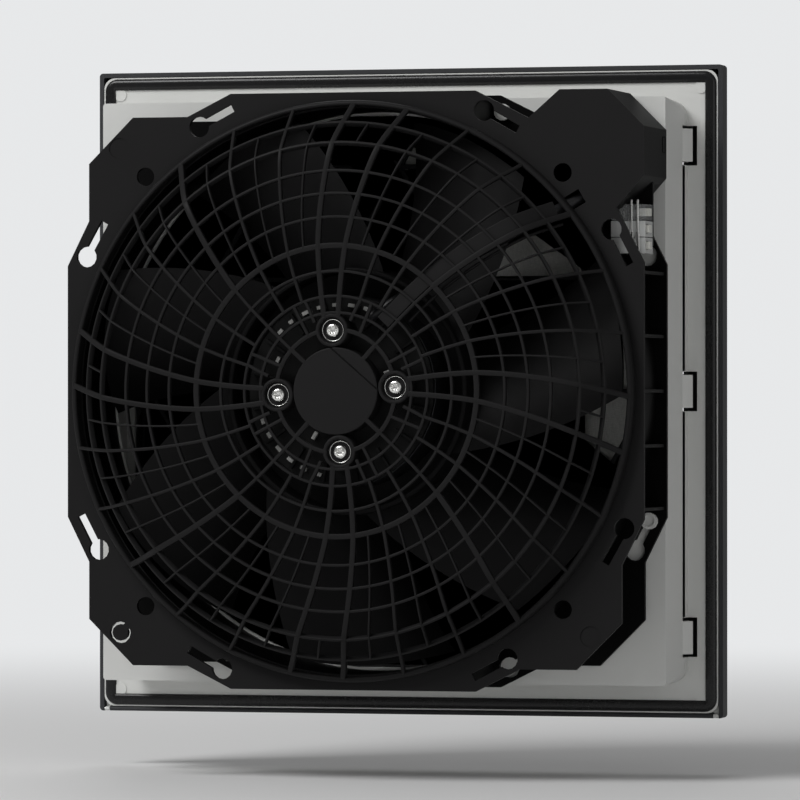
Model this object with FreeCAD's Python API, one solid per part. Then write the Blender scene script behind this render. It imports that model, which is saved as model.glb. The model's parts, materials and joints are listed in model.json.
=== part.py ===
import FreeCAD, Part
import math
import os

# Filter fan for a square cut-out in an enclosure wall, seen here from inside the enclosure.
# Frame: millimetres, +X right and +Z up as seen from inside, +Y towards the outside of the wall.
# The origin is the centre of the cut-out, in the plane of the wall's outer face, where the seal lands.

# Overall sizes
CUTOUT_SIZE = 292.0
COVER_OVERLAP = 15.5
DEPTH_BEHIND_PANEL = 130.5
COVER_PROTRUSION = 25.0

# Clearances
FACE_GAP = 0.3
RUNNING_GAP = 0.04

# Flats on small round details that repeat
FEW_SIDES = 6
MORE_SIDES = 12
DRUM_SIDES = 28

# Cover
COVER_WALL = 2.2
COVER_CORNER_R = 1.8
COVER_SIDE_DEPTH = 10.0
BEVEL_RUN = 14.0
FRONT_BORDER = 8.0
LOUVRE_COUNT = 11
LOUVRE_WALL = 2.0
LOUVRE_BACK_SETBACK = 14.0
LOUVRE_FRONT_SETBACK = 1.0
STIFFENER_WALL = 1.8
STIFFENER_SPACING = 93.0
GRIP_WIDTH = 60.0
GRIP_RADIUS = 6.0

# Hinge along the bottom edge of the cover
PIN_RADIUS = 0.7
EAR_RADIUS = 1.0
EAR_WIDTH = 2.4
EAR_ARM = 3.2
BRACKET_HEIGHT = 12.0
BRACKET_WIDTH = 12.0

# Mounting frame, a tray that stands in the cut-out
FLANGE_WALL = 3.0
FLANGE_STANDOFF = 1.6
FLANGE_CORNER_R = 5.5
TRAY_PLAY = 2.3
TRAY_WALL = 2.4
TRAY_DEPTH = 47.9
TRAY_CORNER_R = 8.0
BACK_WALL = 2.5
AIR_OPENING_RADIUS = 136.5
GRID_LEDGE = 4.0
LEDGE_WALL = 2.4

# Snap clips in the tray's left and right walls
CLIP_PITCH = 121.5
CLIP_WINDOW_LENGTH = 19.6
CLIP_SLIT = 1.7
CLIP_LENGTH = 10.0
CLIP_REACH = 3.7
CLIP_PEAK = 4.2
CLIP_CATCH = 2.3
CLIP_WINDOW_REACH = 4.8

# Screw bosses in the corners of the flange
CORNER_BOSS_INSET = 8.6
CORNER_BOSS_RADIUS = 3.1
CORNER_BOSS_HEIGHT = 0.5

# Seal
SEAL_WIDTH = 5.7
SEAL_LIP = 0.6
SEAL_CORNER_R = 6.3
SEAL_GROOVE = 1.5
SEAL_BEVEL = 1.2

# Filter mat and the grid behind it
GRID_WALL = 2.8
GRID_FRAME = 5.0
GRID_BAR = 2.4
GRID_PITCH = 56.0
MAT_THICKNESS = 16.0
MAT_PLAY = 0.5

# Bayonet: studs on the tray, keyholes in the fan's flanges
STUD_CIRCLE = 150.5
STUD_SHANK_RADIUS = 1.5
STUD_HEAD_RADIUS = 4.0
STUD_HEAD_WALL = 2.5
STUD_CUP_RADIUS = 2.7
STUD_CUP_DEPTH = 1.2
KEYHOLE_ROUND_RADIUS = 5.0
KEYHOLE_SLOT_HALF = 1.9
KEYHOLE_ROUND_ANGLES = (31.0, 64.0)
KEYHOLE_SLOT_ANGLE = 6.6
KEYHOLE_SIDES = 14
TWIST_ANGLE = 6.2

# Fan housing: two flanges on a barrel
FAN_PLAY = 1.0
FAN_FLANGE_WALL = 2.7
FAN_WIDTH = 52.0
FLANGE_STRAIGHT = 61.5
FLANGE_STEP = 11.0
FLANGE_SLANT = 22.0
FLANGE_CORNER_CUT = 22.5
BARREL_WALL = 2.5
BARREL_MARGIN = 5.0
HOLE_SPACING = 210.0
HOLE_RADIUS = 4.5
TONGUE_SPACING = 236.0
TONGUE_OUTER = 5.2
TONGUE_SLIT = 1.3
TONGUE_NECK = 3.2
RIB_WALL = 1.6
RIB_POSITIONS = (-57.0, -26.5, 0.0, 26.5, 57.0)

# Terminal box in the upper right corner
BOX_NOTCH = (131.5, 88.0)
BOX_LOW = 103.4
BOX_HIGH = 127.0
BOX_WALL = 2.0
BOX_LID_WALL = 2.2
BOX_LATCH_HEIGHT = 8.0
BOX_LATCH_CENTRE = 119.6
BOX_LATCH_DEPTH = 7.0

# Terminal block under the box
BLOCK_LEFT = 126.0
BLOCK_WIDTH = 17.0
BLOCK_TOP = 90.0
BLOCK_SETBACK = 9.1
BLOCK_THICKNESS = 16.0
WAY_COUNT = 3
WAY_PITCH = 8.0
WIRE_BORE_RADIUS = 1.5
WIRE_BORE_DEPTH = 9.0
WIRE_BORE_INSET = 5.0
BUTTON_WIDTH = 3.6
BUTTON_HEIGHT = 5.0
BUTTON_STAND = 1.6
BUTTON_LENGTH = 5.0
BUTTON_TRAVEL = 1.2
BUTTON_INSET = 4.4
CONTACT_WIDTH = 3.0
CONTACT_WALL = 0.8
CONTACT_PITCH = 2.4
CONTACT_INSET = 1.6
FOOT_WALL = 2.0

# Finger guard
GUARD_WALL = 2.8
GUARD_FLAT_RADIUS = 115.5
GUARD_COLLAR = 7.5
GUARD_COLLAR_WALL = 2.8
GUARD_INNER_RING = 45.6
GUARD_THICK_RING = 69.9
GUARD_OUTER_RING_SHARES = (0.3, 0.526, 0.8)
GUARD_THICK_SPOKES = (-1.2, 37.6, 77.7)
GUARD_THIN_SPOKES = (11.4, 24.5, 51.4, 64.4)
GUARD_SHORT_SPOKES = (15.1, 54.4)
GUARD_SWEEP = 0.12
RING_WIDTH = 1.3
THICK_RING_WIDTH = 2.6
SPOKE_WIDTH = 1.6
THICK_SPOKE_WIDTH = 2.6

# Screw bosses of the guard and the hub
SCREW_CIRCLE = 29.3
SCREW_TURN = 3.2
BOSS_RADIUS = 8.2
BOSS_DEPTH = 10.6
COUNTERBORE_RADIUS = 5.6
COUNTERBORE_DEPTH = 3.0
SCREW_RADIUS = 2.4
SCREW_HEAD_RADIUS = 5.1
SCREW_HEAD_HEIGHT = 2.6
SCREW_SOCKET = 1.7
SCREW_SOCKET_DEPTH = 1.2
SCREW_LENGTH = 10.0
HUB_CAP_RADIUS = 21.0

# Motor
MOTOR_FLANGE_RADIUS = 46.0
MOTOR_FLANGE_WALL = 2.5
FIN_COUNT = 16
FIN_INNER = 33.0
FIN_WALL = 1.4
FIN_HEIGHT = 2.4
BEARING_BORE = 8.0
BEARING_OUTSIDE = 22.0
BEARING_WIDTH = 7.0
BEARING_SPACING = 34.0
TUBE_WALL = 3.0
STATOR_RADIUS = 36.0
STATOR_LENGTH = 25.0
STATOR_TEETH = 12
STATOR_SLOT_WIDTH = 7.0
STATOR_YOKE = 6.0
WINDING_HEIGHT = 6.0
WINDING_RADIUS = 31.0
COIL_WIDTH = 9.0
AIR_GAP = 0.8
ROTOR_RADIUS = 46.0
ROTOR_LENGTH = 52.0
ROTOR_END_WALL = 5.0
ROTOR_GAP = 1.5
SHAFT_STUB = 4.0

# Impeller
BLADE_COUNT = 7
BLADE_SETBACK = 4.0
TIP_GAP = 4.0
HUB_RADIUS = 60.0
HUB_WALL = 2.5
HUB_SIDE_GAP = 6.0
HUB_WEB = 26.0
BLADE_THICKNESS = 3.4
BLADE_CAMBER = 8.0
BLADE_CHORD = 84.0
BLADE_STAGGER = 58.0
BLADE_LEAN = 14.0
BLADE_MIDDLE = -84.0

# Motor lead and its duct
LEAD_RADIUS = 2.8
LEAD_SIDES = 8
LEAD_START = (15.1, 35.2)
LEAD_DIRECTION = 30.5
LEAD_STATIONS = ((0.0, 123.6), (66.0, 123.6), (124.0, 88.0))
LEAD_PASSAGE = (100.0, 115.5)
DUCT_WALL = 1.2
DUCT_LENGTH = 64.0
GLAND_LENGTH = 7.0

# Derived planes along Y
Y_FLANGE = FLANGE_STANDOFF
Y_FLANGE_FRONT = Y_FLANGE + FLANGE_WALL
Y_COVER_BEVEL = Y_FLANGE + COVER_SIDE_DEPTH
Y_COVER_FRONT = COVER_PROTRUSION
Y_TRAY = -TRAY_DEPTH
Y_FAR_BACK = Y_TRAY - FACE_GAP
Y_FAR_FACE = Y_FAR_BACK - FAN_FLANGE_WALL
Y_NEAR_FACE = Y_FAR_BACK - FAN_WIDTH
Y_NEAR_BACK = Y_NEAR_FACE + FAN_FLANGE_WALL
Y_BLOCK = Y_NEAR_BACK + BLOCK_SETBACK
Y_BLOCK_BACK = Y_BLOCK + BLOCK_THICKNESS
Y_GUARD = -DEPTH_BEHIND_PANEL
Y_GUARD_INSIDE = Y_GUARD + GUARD_WALL

# Derived half widths and radii
COVER_SIZE = CUTOUT_SIZE + 2 * COVER_OVERLAP
COVER_HALF = COVER_SIZE / 2
COVER_INSIDE = COVER_HALF - COVER_WALL
FLANGE_HALF = COVER_INSIDE - FACE_GAP
SEAL_OUTER = FLANGE_HALF - SEAL_LIP
SEAL_INNER = SEAL_OUTER - SEAL_WIDTH
TRAY_HALF = CUTOUT_SIZE / 2 - TRAY_PLAY
TRAY_INSIDE = TRAY_HALF - TRAY_WALL
FAN_HALF = CUTOUT_SIZE / 2 - FAN_PLAY
BARREL_RADIUS = FAN_HALF - BARREL_MARGIN
BARREL_BORE = BARREL_RADIUS - BARREL_WALL
GUARD_RIM = BARREL_BORE + GUARD_COLLAR_WALL / 2 + 0.6
TIP_RADIUS = BARREL_BORE - TIP_GAP

# Hinge axis, inside the thickness of the cover's bottom wall
HINGE_Y = Y_FLANGE + COVER_WALL / 2
HINGE_Z = -(COVER_HALF - COVER_WALL / 2)

V = FreeCAD.Vector
Y_AXIS = V(0, 1, 0)


def polar(radius, angle, y):
    """Point on a circle about the fan's axis, angle in degrees from +X towards +Z."""
    a = math.radians(angle)
    return V(radius * math.cos(a), y, radius * math.sin(a))


def fused(shapes):
    """One solid out of several that touch or overlap."""
    return shapes[0].multiFuse(shapes[1:]).removeSplitter()


def prism(points, y0, y1):
    """Polygon of (x, z) points carried from y0 to y1."""
    wire = Part.makePolygon([V(x, y0, z) for x, z in points + points[:1]])
    return Part.Face(wire).extrude(V(0, y1 - y0, 0))


def slab(x0, x1, y0, y1, z0, z1):
    """Box between two corners."""
    return Part.makeBox(x1 - x0, y1 - y0, z1 - z0, V(x0, y0, z0))


def disc(radius, y0, y1, x=0.0, z=0.0):
    """Cylinder along Y."""
    return Part.makeCylinder(radius, y1 - y0, V(x, y0, z), Y_AXIS)


def many_sided(radius, sides, y0, y1, x=0.0, z=0.0):
    """Regular prism along Y whose flats touch the given radius."""
    reach = radius / math.cos(math.pi / sides)
    turn = 2 * math.pi / sides
    points = [
        (x + reach * math.cos(turn * (k + 0.5)), z + reach * math.sin(turn * (k + 0.5)))
        for k in range(sides)
    ]
    return prism(points, y0, y1)


def turned(profile):
    """Solid of revolution about the fan's axis from (radius, y) points."""
    wire = Part.makePolygon([V(r, y, 0) for r, y in profile + profile[:1]])
    return Part.Face(wire).revolve(V(0, 0, 0), Y_AXIS, 360)


def faceted(profile, angles):
    """Ring with flat sides: one (radius, y) profile at each angle, joined by planes."""
    stations = [[polar(r, a, y) for r, y in profile] for a in angles]
    faces = []
    for here, there in zip(stations, stations[1:] + stations[:1]):
        for i in range(len(profile)):
            quad = [here[i - 1], here[i], there[i], there[i - 1]]
            faces.append(Part.Face(Part.makePolygon(quad + quad[:1])))
    solid = Part.Solid(Part.makeShell(faces))
    return (solid if solid.Volume > 0 else solid.reversed()).removeSplitter()


def rounded_wire(half, corner, y):
    """Square outline with rounded corners in the plane y."""
    k = corner * (1 - math.sqrt(0.5))
    edges = []
    for turn in range(4):
        c, s = ((1, 0), (0, 1), (-1, 0), (0, -1))[turn]

        def at(x, z):
            return V(c * x - s * z, y, s * x + c * z)

        edges.append(Part.LineSegment(at(half, corner - half), at(half, half - corner)).toShape())
        edges.append(
            Part.Arc(at(half, half - corner), at(half - k, half - k), at(half - corner, half)).toShape()
        )
    return Part.Wire(edges)


def rounded_slab(half, corner, y0, y1):
    """Square plate with rounded corners."""
    return Part.Face(rounded_wire(half, corner, y0)).extrude(V(0, y1 - y0, 0))


def tapered_slab(half0, corner0, y0, half1, corner1, y1):
    """Square plate whose sides lean from one outline to another."""
    return Part.makeLoft([rounded_wire(half0, corner0, y0), rounded_wire(half1, corner1, y1)], True, True)


def square_pocket(half, y0, y1):
    """Square block centred on the axis."""
    return slab(-half, half, y0, y1, -half, half)


def square_frame(half_outer, half_inner, y0, y1):
    """Plain square ring."""
    return square_pocket(half_outer, y0, y1).cut(square_pocket(half_inner, y0, y1))


def cross_section(points, x0, x1):
    """Polygon of (y, z) points carried from x0 to x1."""
    wire = Part.makePolygon([V(x0, y, z) for y, z in points + points[:1]])
    return Part.Face(wire).extrude(V(x1 - x0, 0, 0))


def corners():
    """Signs of the four corners."""
    return [(1, 1), (-1, 1), (-1, -1), (1, -1)]


def front_cover():
    """Bevelled cover with slanted louvres, hollow behind, turning about its bottom rear edge."""
    front_half = COVER_HALF - BEVEL_RUN
    opening = front_half - FRONT_BORDER
    outside = rounded_slab(COVER_HALF, COVER_CORNER_R, Y_FLANGE, Y_COVER_BEVEL).fuse(
        tapered_slab(COVER_HALF, COVER_CORNER_R, Y_COVER_BEVEL, front_half, COVER_CORNER_R, Y_COVER_FRONT)
    )
    inner_corner = COVER_CORNER_R / 2
    inner_front = front_half - COVER_WALL
    hollow = rounded_slab(COVER_INSIDE, inner_corner, Y_FLANGE, Y_COVER_BEVEL).fuse(
        tapered_slab(
            COVER_INSIDE, inner_corner, Y_COVER_BEVEL, inner_front, inner_corner, Y_COVER_FRONT - COVER_WALL
        )
    )
    shell = outside.cut(hollow)
    shell = shell.cut(slab(-opening, opening, Y_COVER_BEVEL, Y_COVER_FRONT, -opening, opening))

    # Louvres shed water outwards: each slat drops from back to front
    y_back = Y_COVER_FRONT - LOUVRE_BACK_SETBACK
    y_front = Y_COVER_FRONT - LOUVRE_FRONT_SETBACK
    pitch = 2 * opening / LOUVRE_COUNT
    drop = (y_front - y_back) / 2
    side = opening + COVER_WALL / 2
    slats = []
    for i in range(LOUVRE_COUNT):
        z = -opening + (i + 0.5) * pitch
        profile = [
            (y_front, z - drop),
            (y_front, z - drop + LOUVRE_WALL),
            (y_back, z + drop + LOUVRE_WALL),
            (y_back, z + drop),
        ]
        slats.append(cross_section(profile, -side, side))
    for x in (-STIFFENER_SPACING / 2, STIFFENER_SPACING / 2):
        reach = opening + FRONT_BORDER / 2
        slats.append(
            slab(x - STIFFENER_WALL / 2, x + STIFFENER_WALL / 2, y_back, y_front - drop, -reach, reach)
        )
    # A frame behind the border carries the ends of the slats
    slats.append(square_frame(opening + COVER_WALL, opening, y_back, Y_COVER_FRONT - COVER_WALL / 2))
    cover = fused([shell] + slats)

    # Scooped finger grip in the upper bevel
    grip_z = COVER_HALF - BEVEL_RUN / 2 + GRIP_RADIUS * 0.6
    grip_y = (Y_COVER_BEVEL + Y_COVER_FRONT) / 2 + GRIP_RADIUS * 0.6
    grip = Part.makeCylinder(GRIP_RADIUS, GRIP_WIDTH, V(-GRIP_WIDTH / 2, grip_y, grip_z), V(1, 0, 0))
    grip_shell = Part.makeCylinder(
        GRIP_RADIUS + COVER_WALL / 2,
        GRIP_WIDTH + COVER_WALL,
        V(-GRIP_WIDTH / 2 - COVER_WALL / 2, grip_y, grip_z),
        V(1, 0, 0),
    ).common(outside)
    cover = cover.fuse(grip_shell).cut(grip)

    # The bottom rear edge is rounded about the hinge axis
    edge = slab(-COVER_HALF, COVER_HALF, Y_FLANGE, HINGE_Y, -COVER_HALF, HINGE_Z + COVER_WALL / 2)
    rounded = Part.makeCylinder(COVER_WALL / 2, COVER_SIZE, V(-COVER_HALF, HINGE_Y, HINGE_Z), V(1, 0, 0))
    inside_edge = edge.common(slab(-COVER_INSIDE, COVER_INSIDE, -1, Y_COVER_FRONT, -COVER_HALF, 0))
    cover = cover.cut(inside_edge.cut(rounded))
    for side_sign in (1, -1):
        notch_in = COVER_INSIDE - EAR_WIDTH - 2 * FACE_GAP
        x0, x1 = sorted((side_sign * notch_in, side_sign * COVER_INSIDE))
        y_notch = HINGE_Y + EAR_RADIUS + EAR_ARM + FACE_GAP
        cover = cover.cut(slab(x0, x1, 0, y_notch, -COVER_HALF - 1, -FLANGE_HALF))
        bore = Part.makeCylinder(
            PIN_RADIUS + RUNNING_GAP,
            COVER_WALL * 0.8,
            V(side_sign * COVER_INSIDE, HINGE_Y, HINGE_Z),
            V(side_sign, 0, 0),
        )
        cover = cover.cut(bore)
    return cover.removeSplitter()


def hinge_brackets():
    """Ears on the front of the tray's flange that hold the cover's hinge pins."""
    pieces = []
    arm = HINGE_Y + EAR_RADIUS + EAR_ARM
    for side in (1, -1):
        outer = FLANGE_HALF - FACE_GAP / 2
        x0, x1 = sorted((side * outer, side * (outer - EAR_WIDTH)))
        knuckle = Part.makeCylinder(EAR_RADIUS, EAR_WIDTH, V(x0, HINGE_Y, HINGE_Z), V(1, 0, 0))
        foot = slab(x0, x1, HINGE_Y, arm, HINGE_Z - EAR_RADIUS, HINGE_Z + EAR_RADIUS)
        leg = slab(x0, x1, Y_FLANGE_FRONT, arm, HINGE_Z - EAR_RADIUS, -FLANGE_HALF + BRACKET_HEIGHT)
        p0, p1 = sorted((side * outer, side * (outer - BRACKET_WIDTH)))
        pad = slab(p0, p1, Y_FLANGE_FRONT, arm - 1.0, -FLANGE_HALF + FACE_GAP, -FLANGE_HALF + BRACKET_HEIGHT)
        bracket = fused([knuckle, foot, leg, pad])
        pieces.append(bracket.cut(hinge_pin(side)))
    return Part.makeCompound(pieces)


def hinge_pin(side):
    """Steel pin that reaches from one ear into the cover's side wall."""
    start = FLANGE_HALF - FACE_GAP / 2 - EAR_WIDTH
    length = EAR_WIDTH + 1.5 * FACE_GAP + COVER_WALL * 0.6
    return Part.makeCylinder(PIN_RADIUS, length, V(side * start, HINGE_Y, HINGE_Z), V(side, 0, 0))


def hinge_pins():
    """Both hinge pins."""
    return Part.makeCompound([hinge_pin(1), hinge_pin(-1)])


def clip_tongue(side, z):
    """Springy tongue in the tray wall with a ramped hook that catches behind the panel's edge."""
    profile = [
        (TRAY_INSIDE, Y_FLANGE_FRONT),
        (TRAY_INSIDE, -CLIP_LENGTH),
        (TRAY_HALF, -CLIP_LENGTH),
        (TRAY_HALF + CLIP_REACH, -CLIP_PEAK),
        (TRAY_HALF + CLIP_REACH, -CLIP_PEAK + 0.8),
        (TRAY_HALF, -CLIP_CATCH + 1.4),
        (TRAY_HALF, Y_FLANGE_FRONT),
    ]
    half = CLIP_WINDOW_LENGTH / 2 - CLIP_SLIT
    wire = Part.makePolygon([V(side * x, y, z - half) for x, y in profile + profile[:1]])
    return Part.Face(wire).extrude(V(0, 0, 2 * half))


def stud_angles():
    """Places of the four bayonet studs, where the fan's far keyholes end."""
    first = 90 - KEYHOLE_ROUND_ANGLES[0] + TWIST_ANGLE
    return [first + 90 * k for k in range(4)]


def stud(angle):
    """Mushroom stud with a cupped head on the back wall of the tray."""
    at = polar(STUD_CIRCLE, angle, 0)
    y_head = Y_FAR_FACE - FACE_GAP
    y_top = y_head - STUD_HEAD_WALL
    shank = many_sided(STUD_SHANK_RADIUS, FEW_SIDES, y_head, Y_TRAY, at.x, at.z)
    head = many_sided(STUD_HEAD_RADIUS, MORE_SIDES, y_top, y_head, at.x, at.z)
    cup = many_sided(STUD_CUP_RADIUS, MORE_SIDES, y_top, y_top + STUD_CUP_DEPTH, at.x, at.z)
    return [shank, head.cut(cup)]


def mounting_frame():
    """Moulded tray with its flange, clips, screw bosses, ledge for the grid and bayonet studs."""
    body = rounded_slab(TRAY_HALF, TRAY_CORNER_R, Y_TRAY, Y_FLANGE_FRONT)
    plate = rounded_slab(FLANGE_HALF, FLANGE_CORNER_R, Y_FLANGE, Y_FLANGE_FRONT)
    frame = body.fuse(plate)
    y_ledge = grid_back()
    pockets = [
        square_pocket(TRAY_INSIDE, y_ledge, Y_FLANGE_FRONT),
        square_pocket(TRAY_INSIDE, Y_TRAY + BACK_WALL, y_ledge - LEDGE_WALL),
        square_pocket(TRAY_INSIDE - GRID_LEDGE, y_ledge - LEDGE_WALL, y_ledge),
        disc(AIR_OPENING_RADIUS, Y_TRAY, Y_TRAY + BACK_WALL),
    ]
    frame = frame.cut(pockets)
    groove = rounded_slab(SEAL_OUTER, SEAL_CORNER_R, Y_FLANGE, Y_FLANGE + SEAL_GROOVE)
    groove = groove.cut(slab(-SEAL_INNER, SEAL_INNER, Y_FLANGE, Y_FLANGE_FRONT, -SEAL_INNER, SEAL_INNER))
    frame = frame.cut(groove)

    windows, tongues = [], []
    for side in (1, -1):
        for z in (-CLIP_PITCH, 0.0, CLIP_PITCH):
            x0, x1 = sorted((side * TRAY_INSIDE, side * (TRAY_HALF + CLIP_WINDOW_REACH)))
            half = CLIP_WINDOW_LENGTH / 2
            windows.append(slab(x0, x1, -CLIP_LENGTH, Y_FLANGE_FRONT, z - half, z + half))
            tongues.append(clip_tongue(side, z))
    frame = frame.cut(windows)

    at = FLANGE_HALF - CORNER_BOSS_INSET
    bosses = [
        many_sided(CORNER_BOSS_RADIUS, MORE_SIDES, Y_FLANGE - CORNER_BOSS_HEIGHT, Y_FLANGE, sx * at, sz * at)
        for sx, sz in corners()
    ]
    studs = [piece for angle in stud_angles() for piece in stud(angle)]
    return fused([frame] + tongues + bosses + studs)


def panel_seal():
    """Cast seal in the flange's groove, with a bevelled bead whose flat crest lands on the panel."""
    y_base = Y_FLANGE + SEAL_GROOVE
    y_bevel = SEAL_BEVEL
    base = rounded_slab(SEAL_OUTER, SEAL_CORNER_R, y_bevel, y_base)
    bead = tapered_slab(SEAL_OUTER - SEAL_BEVEL, SEAL_CORNER_R, 0, SEAL_OUTER, SEAL_CORNER_R, y_bevel)
    hole = slab(-SEAL_INNER, SEAL_INNER, 0, y_base, -SEAL_INNER, SEAL_INNER)
    edge = SEAL_INNER + SEAL_BEVEL
    outlines = [
        Part.makePolygon([V(sx * half, y, sz * half) for sx, sz in corners() + corners()[:1]])
        for half, y in ((edge, 0.0), (SEAL_INNER, y_bevel))
    ]
    return base.fuse(bead).cut([hole, Part.makeLoft(outlines, True, True)]).removeSplitter()


def grid_back():
    """Plane on which the filter grid rests in the tray."""
    return Y_FLANGE_FRONT + 0.7 - MAT_THICKNESS - GRID_WALL - FACE_GAP


def filter_support_grid():
    """Flat lattice of three families of bars that keeps the mat out of the fan."""
    y0 = grid_back()
    half = TRAY_INSIDE - FACE_GAP
    window = slab(-half, half, y0, y0 + GRID_WALL, -half, half)
    bars = []
    for turn in (0, 60, 120):
        reach = half * (1 if turn == 0 else 1.36)
        count = int(reach / GRID_PITCH)
        for i in range(-count, count + 1):
            bar = slab(-2 * half, 2 * half, y0, y0 + GRID_WALL, -GRID_BAR / 2, GRID_BAR / 2)
            bar.translate(V(0, 0, i * GRID_PITCH))
            bar.rotate(V(0, 0, 0), Y_AXIS, turn)
            bars.append(bar)
    lattice = fused(bars).common(window)
    return lattice.fuse(square_frame(half, half - GRID_FRAME, y0, y0 + GRID_WALL)).removeSplitter()


def filter_mat():
    """Plain slab of the fleece mat, held between the grid and the cover."""
    y0 = grid_back() + GRID_WALL + FACE_GAP
    half = TRAY_INSIDE - MAT_PLAY
    return slab(-half, half, y0, y0 + MAT_THICKNESS, -half, half)


def keyhole(round_angle, slot_turn, y0, y1):
    """Round end with a narrow slot that runs from it along the stud circle."""
    w = KEYHOLE_SLOT_HALF
    middle = round_angle + slot_turn / 2
    start = polar(STUD_CIRCLE, round_angle, 0)
    end = polar(STUD_CIRCLE, round_angle + slot_turn, 0)
    half = (end - start).Length / 2
    bow = STUD_CIRCLE * math.cos(math.radians(slot_turn / 2))
    near, far = (half, half + w) if slot_turn > 0 else (half + w, half)
    slot = slab(bow - w, STUD_CIRCLE + w, y0, y1, -near, far)
    slot.rotate(V(0, 0, 0), Y_AXIS, -middle)
    return slot.fuse(many_sided(KEYHOLE_ROUND_RADIUS, KEYHOLE_SIDES, y0, y1, start.x, start.z))


def flange_corner():
    """Outline of one plain corner of a fan flange, from the right side to the top."""
    step = FAN_HALF - FLANGE_STEP
    slant = FLANGE_STRAIGHT + FLANGE_SLANT
    cut = step - FLANGE_CORNER_CUT
    return [(FAN_HALF, FLANGE_STRAIGHT), (step, slant), (step, cut), (cut, step), (slant, step),
            (FLANGE_STRAIGHT, FAN_HALF)]


def box_corner():
    """Outline of the corner that carries the terminal box."""
    inner, low = BOX_NOTCH
    return [(inner, low), (FAN_HALF, BOX_LOW), (FAN_HALF, BOX_HIGH), (BOX_HIGH, FAN_HALF),
            (BOX_LOW, FAN_HALF), (low, inner)]


def flange_outline(with_box):
    """Closed outline of a fan flange, the terminal box corner at the upper right if asked for."""
    points = []
    for turn in range(4):
        corner = flange_corner()
        if with_box and turn == 0:
            corner = corner[:1] + box_corner() + corner[-1:]
        for x, z in corner:
            for _ in range(turn):
                x, z = -z, x
            points.append((x, z))
    return points


def lead_notch():
    """Passage for the motor lead through the collar, the barrel's wall and the box's inner wall."""
    x, z = LEAD_START
    half = LEAD_RADIUS + 3 * FACE_GAP
    notch = slab(LEAD_PASSAGE[0], LEAD_PASSAGE[1], Y_NEAR_FACE - half, Y_NEAR_BACK + 3 * half, -half, half)
    notch.rotate(V(0, 0, 0), Y_AXIS, -LEAD_DIRECTION)
    notch.translate(V(x, 0, z))
    return notch


def fan_housing():
    """Two outlined flanges on a ribbed barrel, with keyholes for mounting it either way round."""
    far = prism(flange_outline(False), Y_FAR_FACE, Y_FAR_BACK)
    near = prism(flange_outline(True), Y_NEAR_FACE, Y_NEAR_BACK)
    barrel = disc(BARREL_RADIUS, Y_NEAR_FACE, Y_FAR_BACK)
    ribs = []
    for turn in range(4):
        for z in RIB_POSITIONS:
            inner = math.sqrt(BARREL_RADIUS**2 - z**2) - BARREL_WALL / 2
            rib = slab(inner, FAN_HALF - 1.2, Y_NEAR_BACK, Y_FAR_FACE, z - RIB_WALL / 2, z + RIB_WALL / 2)
            rib.rotate(V(0, 0, 0), Y_AXIS, 90 * turn)
            ribs.append(rib)
    housing = fused([far, near, barrel] + ribs)
    tools = [disc(BARREL_BORE, Y_NEAR_FACE, Y_FAR_BACK)]
    for turn in range(4):
        for angle in KEYHOLE_ROUND_ANGLES:
            tools.append(keyhole(angle + 90 * turn, -KEYHOLE_SLOT_ANGLE, Y_NEAR_FACE, Y_NEAR_BACK))
            tools.append(keyhole(90 * turn - angle, KEYHOLE_SLOT_ANGLE, Y_FAR_FACE, Y_FAR_BACK))
    hole = HOLE_SPACING / 2
    for sx, sz in corners():
        tools.append(disc(HOLE_RADIUS, Y_NEAR_FACE, Y_NEAR_BACK, sx * hole, sz * hole))
        tools.append(many_sided(HOLE_RADIUS, MORE_SIDES, Y_FAR_FACE, Y_FAR_BACK, sx * hole, sz * hole))
    tongue = TONGUE_SPACING / 2
    tools.append(spring_slit(-tongue, -tongue))
    return housing.cut(tools + [lead_notch()]).removeSplitter()


def spring_slit(x, z):
    """C-shaped slit that frees a round spring tongue, its neck towards the fan's axis."""
    ring = many_sided(TONGUE_OUTER, MORE_SIDES, Y_NEAR_FACE, Y_NEAR_BACK).cut(
        many_sided(TONGUE_OUTER - TONGUE_SLIT, MORE_SIDES, Y_NEAR_FACE, Y_NEAR_BACK)
    )
    neck = slab(0, 2 * TONGUE_OUTER, Y_NEAR_FACE, Y_NEAR_BACK, -TONGUE_NECK / 2, TONGUE_NECK / 2)
    slit = ring.cut(neck)
    slit.rotate(V(0, 0, 0), Y_AXIS, -45)
    slit.translate(V(x, 0, z))
    return slit


def box_outline(inset):
    """Terminal box outline, shrunk by a wall, with its inner end left to the barrel's circle."""
    inner, low = BOX_NOTCH
    far = FAN_HALF - inset
    k = inset * 0.42
    return [(inner - inset, low), (inner - inset, low + k + inset * 0.6), (far, BOX_LOW + k),
            (far, BOX_HIGH - k), (BOX_HIGH - k, far), (BOX_LOW + k, far),
            (low + k + inset * 0.6, inner - inset), (low, inner - inset), (low - 14, inner - 44 - inset),
            (inner - 44 - inset, low - 14)]


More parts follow.
